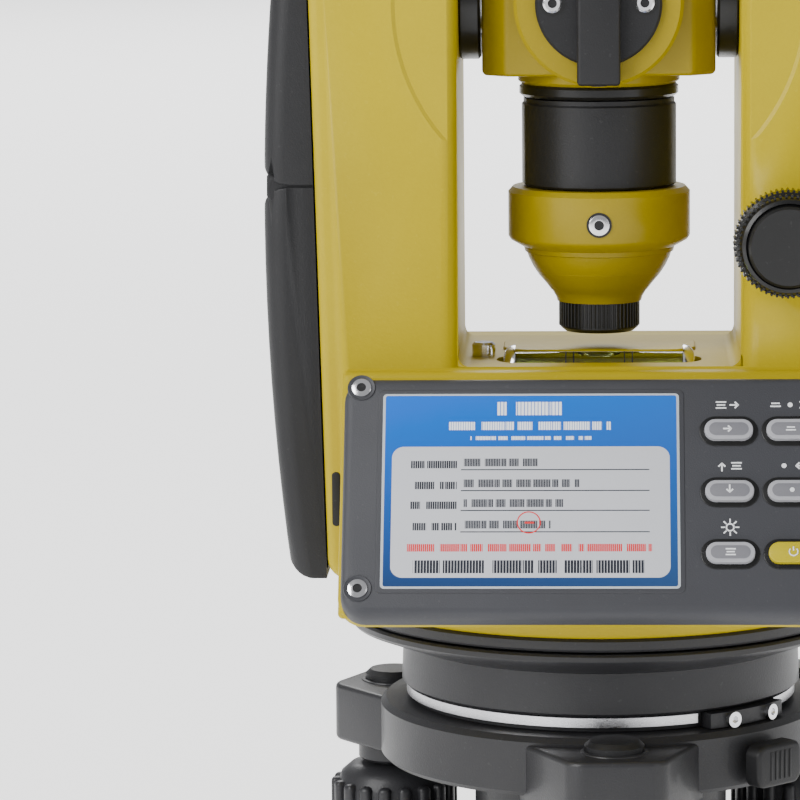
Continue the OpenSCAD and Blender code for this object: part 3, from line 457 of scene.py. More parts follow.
# %% Main sizes of the casting, read from the frame
frame_low = span("alidade_frame")[0]
collar_high = span("trunnion_bushes")[1]
shell_high = span("flange_ring")[1]
handle_low, handle_high = span("carry_handle")
panel_low, panel_high = span("keypad_panel")
tilt_axis = joint("telescope_tilt")["pos_m"][2] / MM
press = Vector(joint("key_1_press")["axis"])
PANEL_TILT = math.degrees(math.asin(-press.z))
PANEL_T = 6.0
YOKE_HALF_GAP = 35.7
STANDARD_HALF_D = 34.0
STANDARD_LOW = span("battery_case")[0].z
STANDARD_TOP = handle_low.z
STANDARD_FOOT_X = 69.2
STANDARD_LEAN = 1.39
DECK_Z = span("level_screw")[1].z - 3.6
SHELL_R = shell_high.x
print("tilt axis", tilt_axis, "deck", DECK_Z, "standards", STANDARD_LOW, STANDARD_TOP)

# %% Local frame of the sloping panel
sin_tilt = math.sin(math.radians(PANEL_TILT))
cos_tilt = math.cos(math.radians(PANEL_TILT))
PANEL_W = panel_high.x - panel_low.x
PANEL_H = (panel_high.z - panel_low.z - PANEL_T * sin_tilt) / cos_tilt
panel_centre_z = panel_high.z - PANEL_H / 2 * cos_tilt
panel_centre_y = panel_low.y + PANEL_H / 2 * sin_tilt
ON_PANEL = at(0, panel_centre_y, panel_centre_z) @ turn(90 - PANEL_TILT, "X")
ON_REAR = turn(180) @ ON_PANEL
print("panel", round(PANEL_W, 2), round(PANEL_H, 2), "tilt", round(PANEL_TILT, 2))


# %% Standards
def standard():
    lean = math.tan(math.radians(STANDARD_LEAN)) * (STANDARD_TOP - STANDARD_LOW)
    mass = prism([(YOKE_HALF_GAP, STANDARD_LOW), (STANDARD_FOOT_X, STANDARD_LOW),
                  (STANDARD_FOOT_X + lean, STANDARD_TOP), (YOKE_HALF_GAP, STANDARD_TOP)],
                 2 * STANDARD_HALF_D)
    outer = STANDARD_FOOT_X * MM - 1e-6
    middle = (STANDARD_LOW + STANDARD_TOP) / 2 * MM
    along_y = runs_along(1)
    soften(mass, 12, 10, lambda e: along_y(e) and e.verts[0].co.x > outer
           and e.verts[0].co.z > middle)
    soften(mass, 5, 6, lambda e: along_y(e) and e.verts[0].co.x > outer
           and e.verts[0].co.z < middle)
    inner = YOKE_HALF_GAP * MM + 1e-6
    soften(mass, 4.6, 7, lambda e: runs_along(2)(e) and e.verts[0].co.x < inner)
    return soften(mass, 2.4, 4)


def gap_fillet():
    """The rounded inside corner where a standard meets the deck."""
    radius = 2.8
    corner = bmesh.new()
    first = corner.verts.new((-radius * MM, 0, 0))
    bmesh.ops.spin(corner, geom=[first], cent=(-radius * MM, 0, radius * MM),
                   axis=(0, -1, 0), angle=math.pi / 2, steps=8)
    last = max(corner.verts, key=lambda v: v.co.z)
    point = corner.verts.new((0.2 * MM, 0, -0.2 * MM))
    corner.edges.new((last, point))
    corner.edges.new((point, first))
    faces = bmesh.ops.contextual_create(corner, geom=corner.edges[:])["faces"][:1]
    pull(corner, faces, 2 * (STANDARD_HALF_D - 2.4))
    return moved(corner, at(YOKE_HALF_GAP, -(STANDARD_HALF_D - 2.4), DECK_Z))


MIRROR_X = Matrix.Scale(-1, 4, (1, 0, 0))
casting = merged(standard(), moved(standard(), MIRROR_X), gap_fillet(),
                 moved(gap_fillet(), MIRROR_X))

# %% Sloping fronts and deck
slope_top_y = panel_centre_y + PANEL_T * cos_tilt + (
    (DECK_Z - panel_centre_z + PANEL_T * sin_tilt) / cos_tilt) * sin_tilt
slope_low_v = -PANEL_H / 2 + 1.5
slope_low_y = panel_centre_y + PANEL_T * cos_tilt + slope_low_v * sin_tilt
slope_low_z = panel_centre_z - PANEL_T * sin_tilt + slope_low_v * cos_tilt
belly = frame_low.z + 5.2
outline = [(slope_low_y, slope_low_z), (slope_top_y, DECK_Z), (-slope_top_y, DECK_Z),
           (-slope_low_y, slope_low_z), (58, belly), (-58, belly)]
fronts = moved(prism(outline, PANEL_W + 1.8), turn(90))
soften(fronts, 1.3, 4)
lug = slab(PANEL_W + 1.9, PANEL_H + 2.0, 3.0, 6.6, 1.2)
lip_front = moved(lug.copy(), ON_PANEL @ at(0, 1.4, -PANEL_T - 2.4))
lip_rear = moved(lug, ON_REAR @ at(0, 1.4, -PANEL_T - 2.4))
round_shell = turned([(0, frame_low.z), (SHELL_R - 0.8, frame_low.z),
                      (SHELL_R, frame_low.z + 0.8), (SHELL_R, belly + 1.2),
                      (SHELL_R - 1.2, belly + 2.6), (0, belly + 2.6)], 160)
clamp_centre = centre_of("vertical_clamp_ring")
side_centre = centre_of("horizontal_clamp_ring")
boss = [(0, -2), (11.2, -2), (11.2, 2.2), (10.6, 2.9), (0, 2.9)]
TO_FRONT = turn(90, "X")
TO_RIGHT = turn(90, "Y")
front_boss = moved(turned(boss, 64),
                   at(clamp_centre.x, -STANDARD_HALF_D, clamp_centre.z) @ TO_FRONT)
side_boss = moved(turned(boss, 64),
                  at(STANDARD_FOOT_X + 1.2, side_centre.y, side_centre.z) @ TO_RIGHT)
level_low, level_high = span("plate_level_tube")
casting = merged(casting, fronts, lip_front, lip_rear, round_shell, front_boss, side_boss)
yoke = piece("yellow_casting", casting, "alidade", "yellow_enamel",
             replaces=["alidade_frame"])

# %% Cut the level's trough
level_mid = (level_low + level_high) / 2
trough = moved(slab(level_high.x - level_low.x + 3.4, level_high.y - level_low.y + 2.0, 20,
                    6.4), at(level_mid.x, level_mid.y, level_low.z - 0.5))
STEP_R = 51.0
dish = turned([(0, 0), (STEP_R, 0), (STEP_R + 1.4, 0.9), (0, 0.9)], 160)
DISH_IN = 0.6            # how far the dishes reach into the standards
dishes = copies(dish, [turn(180 * k) @ at(0, -STANDARD_HALF_D + DISH_IN, tilt_axis) @ TO_FRONT
                       for k in (0, 1)])
trough = merged(trough, *dishes)


def carve(thing, tool):
    """Cuts a closed mesh out of a finished piece."""
    cutter = placed("cutter", as_data("tool", tool))
    cut = thing.modifiers.new("cut", "BOOLEAN")
    cut.operation = "DIFFERENCE"
    cut.solver = "EXACT"
    cut.use_self = True
    cut.object = cutter
    bpy.context.view_layer.update()
    carved = bpy.data.meshes.new_from_object(thing.evaluated_get(
        bpy.context.evaluated_depsgraph_get()))
    thing.modifiers.clear()
    thing.data = carved
    bpy.data.objects.remove(cutter)
    print(thing.name, len(carved.polygons), "faces")


carve(yoke, trough)

# %% [markdown]
# ## The right-hand cover and the dark slot
# A thin cover hides the vertical circle. It is a plate with a rolled edge, leaning as the
# standard leans. On the left standard a small dark slot shows beside the panel.

# %% Side cover
cover_low, cover_high = span("right_cover")
ON_RIGHT = at(STANDARD_FOOT_X, 0, STANDARD_LOW) @ turn(STANDARD_LEAN, "Y")
cover_h = cover_high.z - cover_low.z
side_cover = slab(cover_h, cover_high.y - cover_low.y, 2.0, 8.0, 0.9)
cover_mid = (cover_low.z + cover_high.z) / 2 - STANDARD_LOW
piece("side_cover", moved(side_cover, ON_RIGHT @ at(0, 0, cover_mid) @ TO_RIGHT), "alidade",
      "yellow_enamel", replaces=["right_cover"])
SLOT_X, SLOT_Z = -66.9, 107
slot_dark = moved(slab(2.2, 14, 0.5, 1.05, 0.2),
                  at(SLOT_X, -STANDARD_HALF_D + 0.35, SLOT_Z) @ TO_FRONT)
piece("standard_slot", slot_dark, "alidade", "black_plastic")

# %% [markdown]
# ## Keypad panel and rear cover
# The panel is a moulded plate with a bevelled rim, and round each key a black plate stands
# for the gap, which is painted shade. The front edge is bevelled twice, once wide and once fine.
# The shade plates and the bezel are separate thin plates, so that their edges stay crisp.

# %% Panel plate
def cover_plate():
    plate = slab(PANEL_W, PANEL_H, PANEL_T, 6.0, 2.0, rim_segments=2)
    return soften(plate, 0.5, 2, lambda e: edge_angle(e) < math.radians(80))


def pill(width, height, thick, rim=0.0):
    return slab(width, height, thick, height / 2 - 0.01, rim, corner_segments=10)


def screw_cup(u, v):
    """The round recess that a casing screw sits in."""
    return moved(turned([(2.0, 0.02), (2.75, 0.02), (3.35, 0.3), (3.5, 0.05), (3.5, -0.6),
                         (2.0, -0.6)], 40, ring=True), at(u, v, 0))


screw_u = PANEL_W / 2 - 4.2
screw_places = [(s * screw_u, v) for s in (-1, 1)
                for v in (-PANEL_H / 2 + 7.2, PANEL_H / 2 - 3)]
card_low, card_high = span("inspection_card")
card_u = (card_low.x + card_high.x) / 2
card_w = card_high.x - card_low.x
card_h = (card_high.z - card_low.z - 0.3 * sin_tilt) / cos_tilt
card_v = ((card_high.z + card_low.z) / 2 - 0.15 * sin_tilt - panel_centre_z) / cos_tilt


def plate_parts():
    """What the keypad panel and the rear cover have in common."""
    return [moved(cover_plate(), at(z=-PANEL_T))] + [screw_cup(u, v) for u, v in screw_places]


panel_parts = plate_parts()
bezel = slab(card_w + 2.4, card_h + 2.4, 0.25, 1.6, 0.2)
panel_parts.append(moved(bezel, at(card_u, card_v, -0.05)))
piece("keypad_panel_face", moved(merged(*panel_parts), ON_PANEL), "alidade", "panel_plastic",
      replaces=["keypad_panel"])
rear_parts = plate_parts() + [moved(pill(PANEL_W - 36, 2.4, 0.9, 0.5), at(0, row, -0.1))
                              for row in (-12, -6, 0, 6, 12)]
piece("rear_cover_face", moved(merged(*rear_parts), ON_REAR), "alidade", "panel_plastic",
      replaces=["rear_cover"])

# %% Keys, the painted shade round them, and their marks
KEY_W, KEY_H = 12.0, 5.4
key_place = {}
for i in range(1, 7):
    spot = ON_PANEL.inverted() @ ((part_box(f"key_{i}")[0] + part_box(f"key_{i}")[1]) / 2)
    key_place[i] = (spot.x / MM, spot.y / MM)
# Black plates round the keys stand for the shaded gap: painted shade.
key_gap_shade = [moved(moved(pill(KEY_W + 2.6, KEY_H + 2.6, 0.3, 0.2), at(z=-0.08)), at(u, v))
         for u, v in key_place.values()]
piece("key_gap_shade_plates", moved(merged(*key_gap_shade), ON_PANEL), "alidade", "black_anodised")


def sun_icon():
    """A ring with eight rays."""
    rays = [moved(block(1.0, 0.34, 0.12), turn(45 * i) @ at(1.75)) for i in range(8)]
    ring = turned([(0.75, -0.06), (1.1, -0.06), (1.1, 0.06), (0.75, 0.06)], 32, ring=True)
    return merged(ring, *rays)


def power_icon():
    """An open ring with a short stroke through the gap."""
    ring = turned([(0.95, -0.06), (1.25, -0.06), (1.25, 0.06), (0.95, 0.06)], 32, ring=True)
    gap = [f for f in ring.faces if f.calc_center_median().y > 0.75 * MM]
    bmesh.ops.delete(ring, geom=gap, context="FACES")
    bmesh.ops.holes_fill(ring, edges=ring.edges[:], sides=4)
    return merged(ring, moved(block(0.34, 1.1, 0.12), at(0, 0.85)))


def arrow_icon(direction):
    """A plain arrow that points along one of four directions."""
    stem = moved(block(2.0, 0.4, 0.12), at(-0.5))
    head = [moved(block(1.3, 0.4, 0.12), at(0.25, 0.38 * s) @ turn(-45 * s)) for s in (-1, 1)]
    return moved(merged(stem, *head), turn(90 * direction))


def bars_icon(count):
    """A short stack of strokes, such as a list or a scale."""
    strokes = [moved(block(2.6 - 0.5 * (i % 2), 0.36, 0.12), at(0, 0.8 * (i - (count - 1) / 2)))
               for i in range(count)]
    return merged(*strokes)


def dot_icon():
    return turned([(0, 0.06), (0.62, 0.06), (0.62, -0.06), (0, -0.06)], 24)


legends = [(1, [bars_icon(3), arrow_icon(0)]), (2, [arrow_icon(1), bars_icon(3)]),
           (3, [sun_icon()]), (4, [bars_icon(2), dot_icon(), bars_icon(3)]),
           (5, [dot_icon(), arrow_icon(2)])]
printed = []
for key, icons in legends:
    u, v = key_place[key]
    for i, icon in enumerate(icons):
        shift = 3.6 * (i - (len(icons) - 1) / 2)
        printed.append(moved(icon, at(u + shift, v + 7.1, 0.04)))
piece("panel_legends", moved(merged(*printed), ON_PANEL), "alidade", "mark_white")
KEY_TOP = 1.6
key_marks = {1: arrow_icon(0), 2: arrow_icon(3), 3: bars_icon(3), 4: bars_icon(2),
             5: dot_icon(), 6: power_icon()}
for i, (u, v) in key_place.items():
    colour = "key_yellow" if i == 6 else "key_silver"
    cap = moved(pill(KEY_W, KEY_H, KEY_TOP + 4.4, 0.7), at(u, v, -4.4))
    piece(f"key_cap_{i}", moved(cap, ON_PANEL), f"key_{i}", colour, replaces=[f"key_{i}"])
    if i < 6:
        inset = moved(pill(KEY_W - 2.2, KEY_H - 1.9, 0.12, 0.08), at(u, v, KEY_TOP - 0.05))
        piece(f"key_inset_{i}", moved(inset, ON_PANEL), f"key_{i}", "key_inset")
    mark = moved(key_marks[i], at(u, v, KEY_TOP + 0.1) @ Matrix.Scale(0.95, 4))
    piece(f"key_mark_{i}", moved(mark, ON_PANEL), f"key_{i}", "mark_white")


# %% [markdown]
# ## Inspection card
# A printed card fills most of the panel. Its print is a procedural pattern: rectangles are
# masks made from the object coordinates, so no picture is needed. The bars stand for text.

# %% Print the card
CARD_CENTRE = ON_PANEL @ Vector((card_u * MM, card_v * MM, 0))


def card_finish():
    paint = Finish("card_print")
    where = paint.place()
    axes = [(1, 0, 0), tuple(ON_PANEL.to_3x3() @ Vector((0, 1, 0)))]
    across, up = [
        (paint.add("ShaderNodeVectorMath", {"operation": "DOT_PRODUCT"},
                   {0: where, 1: axis}, output=1)
         - CARD_CENTRE.dot(Vector(axis))) * 1000.0
        for axis in axes
    ]

    def area(x0, x1, y0, y1, corner=0.0):
        """A mask of a rectangle, with round corners if asked."""
        dx = ((across - (x0 + x1) / 2).size() - ((x1 - x0) / 2 - corner)).larger(0.0)
        dy = ((up - (y0 + y1) / 2).size() - ((y1 - y0) / 2 - corner)).larger(0.0)
        return (dx * dx + dy * dy).root().below(max(corner, 0.001))

    def words(x0, x1, y0, y1, pitch, seed):
        """A row of short blocks, broken up as words are."""
        cells = paint.add("ShaderNodeTexNoise", {"noise_dimensions": "1D"},
                          {"W": across * (1 / pitch) + seed, "Scale": 1.0, "Detail": 1.0})
        strokes = (across * (1 / pitch) * 4.0).maths("FRACT").above(0.22)
        return area(x0, x1, y0, y1) * cells.above(0.42) * strokes

    def union(masks):
        total = masks[0]
        for mask in masks[1:]:
            total = total.larger(mask)
        return total

    fade = up.ramp(-26, 24)
    side = across.ramp(-36, 36)
    blue = paint.blend(fade, (0.010, 0.036, 0.115), (0.0, 0.115, 0.56))
    blue = paint.blend(side * 0.22, blue, (0.06, 0.13, 0.26))
    field = area(-34.3, 34.3, -23.2, 11.7, 3.0)
    colour = paint.blend(field, blue, (0.50, 0.51, 0.54))
    white = union([words(-8.3, 8.8, 20.2, 23.8, 3.4, 1.0),
                   words(-20.4, 19.9, 16.2, 18.4, 2.4, 5.0),
                   words(-15, 15, 13.5, 14.5, 1.5, 9.0)])
    colour = paint.blend(white, colour, (0.80, 0.84, 0.88))
    rows = [5.5, -0.1, -5.4, -11.1]
    black = [area(-17.2, 29.3, y - 0.14, y + 0.14) for y in rows]
    black += [words(-29.6, -18.2, y + 0.4, y + 2.4, 2.2, 2.0 + y) for y in rows]
    black += [words(-16.5, x1, rows[i] + 0.9, rows[i] + 3.0, 1.6, 7.0 + i)
              for i, x1 in enumerate((2.0, 12.0, 9.0, 5.0))]
    black.append(words(-28.8, 28.1, -22.0, -18.6, 3.0, 3.0))
    colour = paint.blend(union(black), colour, (0.020, 0.022, 0.03))
    dx, dy = across + 0.4, up + 8.6
    radius = (dx * dx + dy * dy).root()
    red = union([words(-30.6, 29.8, -16.3, -14.3, 2.0, 11.0),
                 (radius - 2.8).size().below(0.16), area(-1.4, 0.9, -8.9, -8.4)])
    colour = paint.blend(red, colour, (0.62, 0.03, 0.035))
    edge = 1.0 - area(-36.1, 36.1, -25.5, 25.5, 0.6)
    colour = paint.blend(edge, colour, (0.42, 0.45, 0.48))
    gloss = paint.noise(160.0, 2.0)
    paint.set(Base_Color=colour, Roughness=gloss.ramp(0.3, 0.7, 0.40, 0.48),
              Specular_IOR_Level=0.12)
    return paint.bump(gloss, 0.00002)


finishes["card_print"] = card_finish()
card = moved(slab(card_w, card_h, 0.3, 1.0, 0.08), ON_PANEL @ at(card_u, card_v, 0.02))
piece("printed_card", card, "alidade", "card_print", replaces=["inspection_card"])
print("card", round(card_w, 1), "x", round(card_h, 1))

# %% [markdown]
# ## Screws
# Every screw on the instrument is a domed head with a socket whose dark bottom is painted
# shade. One function turns the head, a second makes that black fill, and a list says where they stand.

# %% Screw heads
def head(radius, height):
    """A domed head with a round opening for the socket."""
    socket = radius * 0.48
    return turned([(socket, height), (radius * 0.8, height), (radius, height * 0.62),
                   (radius, -0.4), (socket, -0.4)], 36, ring=True)


def socket_shade_fill(radius, height):
    """The dark six-sided bottom of the socket, a black fill that is painted shade."""
    plug = bmesh.new()
    bmesh.ops.create_cone(plug, cap_ends=True, segments=6, radius1=radius * 0.53 * MM,
                          radius2=radius * 0.53 * MM, depth=height * 0.7 * MM)
    return moved(plug, at(z=height * 0.12))


def screws(spots):
    """All heads and all painted-shade socket fills of a list of (matrix, radius, height)."""
    return (merged(*[moved(head(radius, height), spot) for spot, radius, height in spots]),
            merged(*[moved(socket_shade_fill(radius, height), spot)
                     for spot, radius, height in spots]))


handle_screw_high = span("handle_screws")[1]
handle_screw_at = [(sx * (handle_screw_high.x - 2.75), sy * (handle_screw_high.y - 2.75))
                   for sx in (-1, 1) for sy in (-1, 1)]
casing_spots = [(base @ at(u, v), 2.4, 0.5) for base in (ON_PANEL, ON_REAR)
                for u, v in screw_places]
casing_spots += [(at(x, y, handle_screw_high.z - 2.25), 2.7, 2.2) for x, y in handle_screw_at]
casing_heads, casing_socket_shade = screws(casing_spots)
piece("casing_screw_heads", casing_heads, "alidade", "bright_screws")
# The black fills down in the sockets are painted shade.
piece("casing_screw_socket_shade", casing_socket_shade, "alidade", "black_plastic")

# %% [markdown]
# ## Battery case
# The case clips to the left standard. Its outer face is a long shallow arc, and a fine
# groove runs across it below the lid. Its inside is open towards the standard.

# %% Battery with its arc
case_low, case_high = span("battery_case")
ARC_R = 700.0
ARC_Z = 178.0
GROOVE_Z = 186.5
SIDE_X, END_X = -0.0762, -0.0745      # edges further out than this are rounded, in metres


def case_outline(low_z, high_z, inset=0.0):
    """The side of the case between two heights, as (x, z), the arc on the left."""
    outer = case_low.x + inset
    steps = 10
    curve = []
    for i in range(steps + 1):
        z = low_z + (high_z - low_z) * i / steps
        curve.append((outer + ARC_R - math.sqrt(ARC_R ** 2 - (z - ARC_Z) ** 2), z))
    lean = math.tan(math.radians(STANDARD_LEAN))
    inner = [(-(STANDARD_FOOT_X + 0.5 + lean * (z - STANDARD_LOW)), z)
             for z in (high_z, low_z)]
    return curve + inner


def case_part(low_z, high_z, inset, side_r, end_r):
    half_d = (case_high.y - case_low.y) / 2 - inset
    mass = prism(case_outline(low_z, high_z, inset), 2 * half_d)
    rail = (half_d - 0.01) * MM
    soften(mass, side_r, 7, lambda e: all(v.co.x < SIDE_X and abs(v.co.y) > rail
                                          for v in e.verts) and not runs_along(0)(e))
    return soften(mass, end_r, 4, lambda e: all(v.co.x < END_X for v in e.verts))


lid = case_part(GROOVE_Z + 0.4, case_high.z, 0.0, 5.5, 0.5)
lower = case_part(case_low.z, GROOVE_Z - 0.4, 0.0, 5.5, 0.5)
core = case_part(GROOVE_Z - 3, GROOVE_Z + 3, 0.9, 5.0, 0.3)
case = piece("battery_shell", merged(lid, lower, core), "battery", "black_plastic",
             replaces=["battery_case"])
latch_low, latch_high = span("battery_latch")
latch_mid = (latch_low + latch_high) / 2
latch_size = latch_high - latch_low

# %% Hollow the case for its cells, and open the slot that the latch moves in
CASE_WALL = 2.0
LATCH_TRAVEL = 3.0
SLOT_GAP = 0.4
hollow_low = case_low.z + CASE_WALL
hollow_high = case_high.z - latch_size.z - 8
hollow = prism([(x if i <= 10 else x + 8, z) for i, (x, z) in
                enumerate(case_outline(hollow_low, hollow_high, CASE_WALL))],
               case_high.y - case_low.y - 2 * CASE_WALL)
slot_low = latch_low.z - LATCH_TRAVEL - SLOT_GAP
slot = moved(block(latch_size.x + 2 * SLOT_GAP, latch_size.y + 2 * SLOT_GAP,
                   case_high.z + 2 - slot_low, 0.2),
             at(latch_mid.x, latch_mid.y, (case_high.z + 2 + slot_low) / 2))
carve(case, merged(hollow, slot))
latch = [moved(block(*latch_size, 1.0), at(*latch_mid))]
latch += [moved(block(latch_size.x * 0.7, 0.9, 0.8, 0.3, 2),
                at(latch_mid.x, y, latch_high.z - 0.3)) for y in (-5, -2.5, 0, 2.5, 5)]
piece("battery_latch_button", merged(*latch), "battery_latch", "black_plastic",
      replaces=["battery_latch"])

# %% [markdown]
# ## Clamp and tangent screws
# Each clamp is a dark ring with a tangent knob in front of it on the same axis. Both have a
# knurl: fine ridges that are boxes with rounded tops, set round the rim.

# %% Clamp rings and knobs
def clamp_ring():
    body = turned([(0, 0), (12.2, 0), (13.0, 0.7), (13.0, 7.3), (12.2, 8.0), (0, 8.0)], 96)
    return merged(body, knurl(13.15, 1.0, 7.0, 60, 0.62, 0.5))


def tangent_knob():
    body = turned([(0, 0), (11.8, 0), (12.2, 0.5), (12.2, 2.9), (11.6, 3.9), (10.7, 4.3),
                   (10.4, 3.8), (10.1, 4.3), (10.1, 6.3), (9.5, 7.0), (0, 7.0)], 96)
    return merged(body, knurl(12.3, 0.7, 3.0, 54, 0.62, 0.5))


RING_W = 8.0
KNOB_W = 7.0


def against_end(node, side, width, middle):
    """Where a grip of this width ends flush with the outer end of its node."""
    low, high = span(node)
    if side == "vertical":
        return at(middle.x, low.y + width, middle.z) @ TO_FRONT
    return at(high.x - width, middle.y, middle.z) @ TO_RIGHT


for side in ("vertical", "horizontal"):
    ring_node, knob_node = f"{side}_clamp_ring", f"{side}_tangent_knob"
    middle = centre_of(ring_node)
    piece(f"{side}_clamp_grip",
          moved(clamp_ring(), against_end(ring_node, side, RING_W, middle)), f"{side}_clamp",
          "black_anodised", replaces=[ring_node])
    piece(f"{side}_tangent_grip",
          moved(tangent_knob(), against_end(knob_node, side, KNOB_W, middle)),
          f"{side}_tangent", "black_anodised", replaces=[knob_node])

plummet_high = span("plummet_eyepiece")[1]
plummet_mid = centre_of("plummet_eyepiece")
cup = turned([(0, 0), (8.4, 0), (8.8, 0.4), (8.8, 4.9), (8.2, 6.2), (5.2, 6.2), (3.6, 4.0),
              (0, 4.0)], 72)
cup = merged(cup, knurl(8.75, 0.7, 4.6, 44, 0.5, 0.25))
PLUMMET_AT = at(plummet_high.x - 6.2, plummet_mid.y, plummet_mid.z) @ TO_RIGHT
piece("plummet_grip", moved(cup, PLUMMET_AT), "plummet_focus", "black_anodised",
      replaces=["plummet_eyepiece"])
pupil = turned([(0, 4.05), (3.0, 4.05), (3.0, 3.8), (0, 3.8)], 32)
piece("plummet_pupil", moved(pupil, PLUMMET_AT), "plummet_focus", "optical_glass")

# %% [markdown]
# ## Telescope
# The telescope hangs between the standards on its trunnions. Seen from the front it shows,
# from the top down: a yellow block, a black collar, a faceted focus ring, a yellow eyepiece
# cover and the eyepiece. At rest the objective points straight up.
# Its yellow parts take a darker copy of the enamel, which is painted shade.

# %% Block, bosses and neck
body_low = span("telescope_body")[0]
BLOCK_HALF_W = 29.75
BLOCK_LOW = 213.0
BLOCK_HIGH = 251.0
BLOCK_D = 40.0
chamfered = moved(block(2 * BLOCK_HALF_W, BLOCK_D, BLOCK_HIGH - BLOCK_LOW),
                  at(0, 0, (BLOCK_LOW + BLOCK_HIGH) / 2))
soften(chamfered, 6.0, 1, runs_along(2))
soften(chamfered, 1.4, 4)
boss_y = 26.0
round_boss = turned([(0, -boss_y), (20.6, -boss_y), (21.4, -boss_y + 0.8),
                     (21.4, boss_y - 0.8), (20.6, boss_y), (0, boss_y)], 128)
round_boss = moved(round_boss, at(0, 0, tilt_axis) @ TO_FRONT)
cut_above(round_boss, BLOCK_HIGH * MM, 0)
neck = turned([(16.1, 210.2), (19.8, 210.2), (20.8, 211.0), (20.8, 215), (16.1, 215)], 96,
              ring=True)
tube = turned([(15.0, body_low.z), (16.0, body_low.z), (16.0, 211), (15.0, 211)], 96,
              ring=True)
# The telescope castings take the darker enamel, which is painted shade.
piece("telescope_casting", merged(chamfered, round_boss, neck), "telescope",
      "shaded_yellow_enamel", replaces=["telescope_body"])
piece("focus_tube", tube, "telescope", "black_anodised")
collar = turned([(16.0, 206.9), (19.6, 206.9), (20.5, 207.7), (20.5, 209.5), (19.7, 210.3),
                 (16.0, 210.3)], 128, ring=True)
piece("gloss_collar", collar, "telescope", "black_anodised")

# %% Objective barrel, cell and lens
cell_low, cell_high = span("objective_cell")
barrel_h = cell_low.z - BLOCK_HIGH
barrel = turned([(19.4, -1), (22.0, -1), (22.0, 2), (24.2, 13), (25.4, 20), (26.0, 24),
                 (26.0, barrel_h - 1.0), (25.2, barrel_h), (19.4, barrel_h)], 128, True,
                BLOCK_HIGH)
# The barrel takes the darker enamel, which is painted shade.
piece("objective_casting", barrel, "telescope", "shaded_yellow_enamel",
      replaces=["objective_barrel"])
cell_r = (cell_high.x - cell_low.x) / 2
cell_h = cell_high.z - cell_low.z
cell = turned([(21.0, 0), (cell_r - 0.5, 0), (cell_r, 0.5), (cell_r, cell_h - 0.8),
               (cell_r - 0.8, cell_h), (cell_r - 3.2, cell_h), (21.0, cell_h - 4.0)], 128,
              True, cell_low.z)
cell = merged(cell, knurl(cell_r - 0.22, cell_low.z + 1.0, cell_high.z - 1.2, 90, 0.6, 0.2))
piece("objective_bezel", cell, "telescope", "black_anodised", replaces=["objective_cell"])

# %% Sights
sight_low = span("sight_plates")[0]


def sight():
    disc = turned([(0, 25.8), (15.2, 25.8), (16.0, 26.3), (16.0, 27.4), (15.4, 28.0),
                   (0, 28.0)], 96)
    disc = moved(disc, at(0, 0, tilt_axis) @ TO_FRONT)
    case = moved(block(10.9, 5.4, 41.2), at(0, sight_low.y + 2.7, tilt_axis))
    soften(case, 1.0, 4)
    bore = turned([(1.6, 0), (2.1, 0), (2.1, 0.35), (1.6, 0.35)], 32, ring=True)
    bores = copies(bore, [at(0, sight_low.y + 2.7, tilt_axis + s * 20.6 - 0.175)
                          for s in (-1, 1)])
    return merged(disc, case, *bores)


piece("collimator_sights", merged(sight(), moved(sight(), turn(180))), "telescope",
      "black_plastic", replaces=["sight_plates"])

# %% Trunnion collars
COLLAR_W = 5.5
collar = turned([(10.2, 0), (15.0, 0), (15.6, 0.6), (15.6, 4.9), (14.9, COLLAR_W),
                 (10.2, COLLAR_W)], 96, ring=True)
sleeve_end = collar_high.x
sleeve = turned([(10.2, YOKE_HALF_GAP - 0.5), (13.4, YOKE_HALF_GAP - 0.5),
                 (13.4, sleeve_end), (10.2, sleeve_end)], 64, ring=True)
sleeves = copies(sleeve, [turn(180 * k) @ at(0, 0, tilt_axis) @ TO_RIGHT for k in (0, 1)])
piece("trunnion_sleeves", merged(*sleeves), "alidade", "bearing_bronze",
      replaces=["trunnion_bushes"])
collars = copies(collar, [at(x, 0, tilt_axis) @ TO_RIGHT
                          for x in (-YOKE_HALF_GAP, YOKE_HALF_GAP - COLLAR_W)])
for side, made in zip(("left", "right"), collars):
    piece(f"{side}_trunnion_collar", made, "alidade", "black_anodised")

# %% Focus ring
ring_low, ring_high = span("focus_ring")
FACETS = 16
ring_h = ring_high.z - ring_low.z
grip = turned([(16.3, 0), (19.4, 0), (19.95, 0.6), (19.95, ring_h - 1.6), (19.5, ring_h - 1.1),
               (19.5, ring_h), (16.3, ring_h)], FACETS, True, ring_low.z)
moved(grip, turn(180 / FACETS + 7))
soften(grip, 0.35, 2, lambda e: edge_angle(e) < math.radians(30) or runs_along(2)(e))
piece("focus_grip", grip, "focus_ring", "black_plastic", replaces=["focus_ring"])

# %% Eyepiece cover and eyepiece
cover_z0, cover_z1 = span("eyepiece_cover")
rim_z = cover_z1.z - cover_z0.z
bowl = [(10.4, 0), (10.9, 0.1), (11.2, 1.2), (12.2, 2.9), (12.5, 3.1), (13.8, 4.8),
        (15.6, 6.9), (17.2, 9.3), (18.3, 11.6), (18.7, 12.9), (19.2, 13.1), (19.5, 14.3),
        (22.9, 16.2), (23.5, 17.2), (23.5, rim_z - 1.3), (22.3, rim_z), (16.4, rim_z),
        (16.4, 8), (10.4, 3.4)]
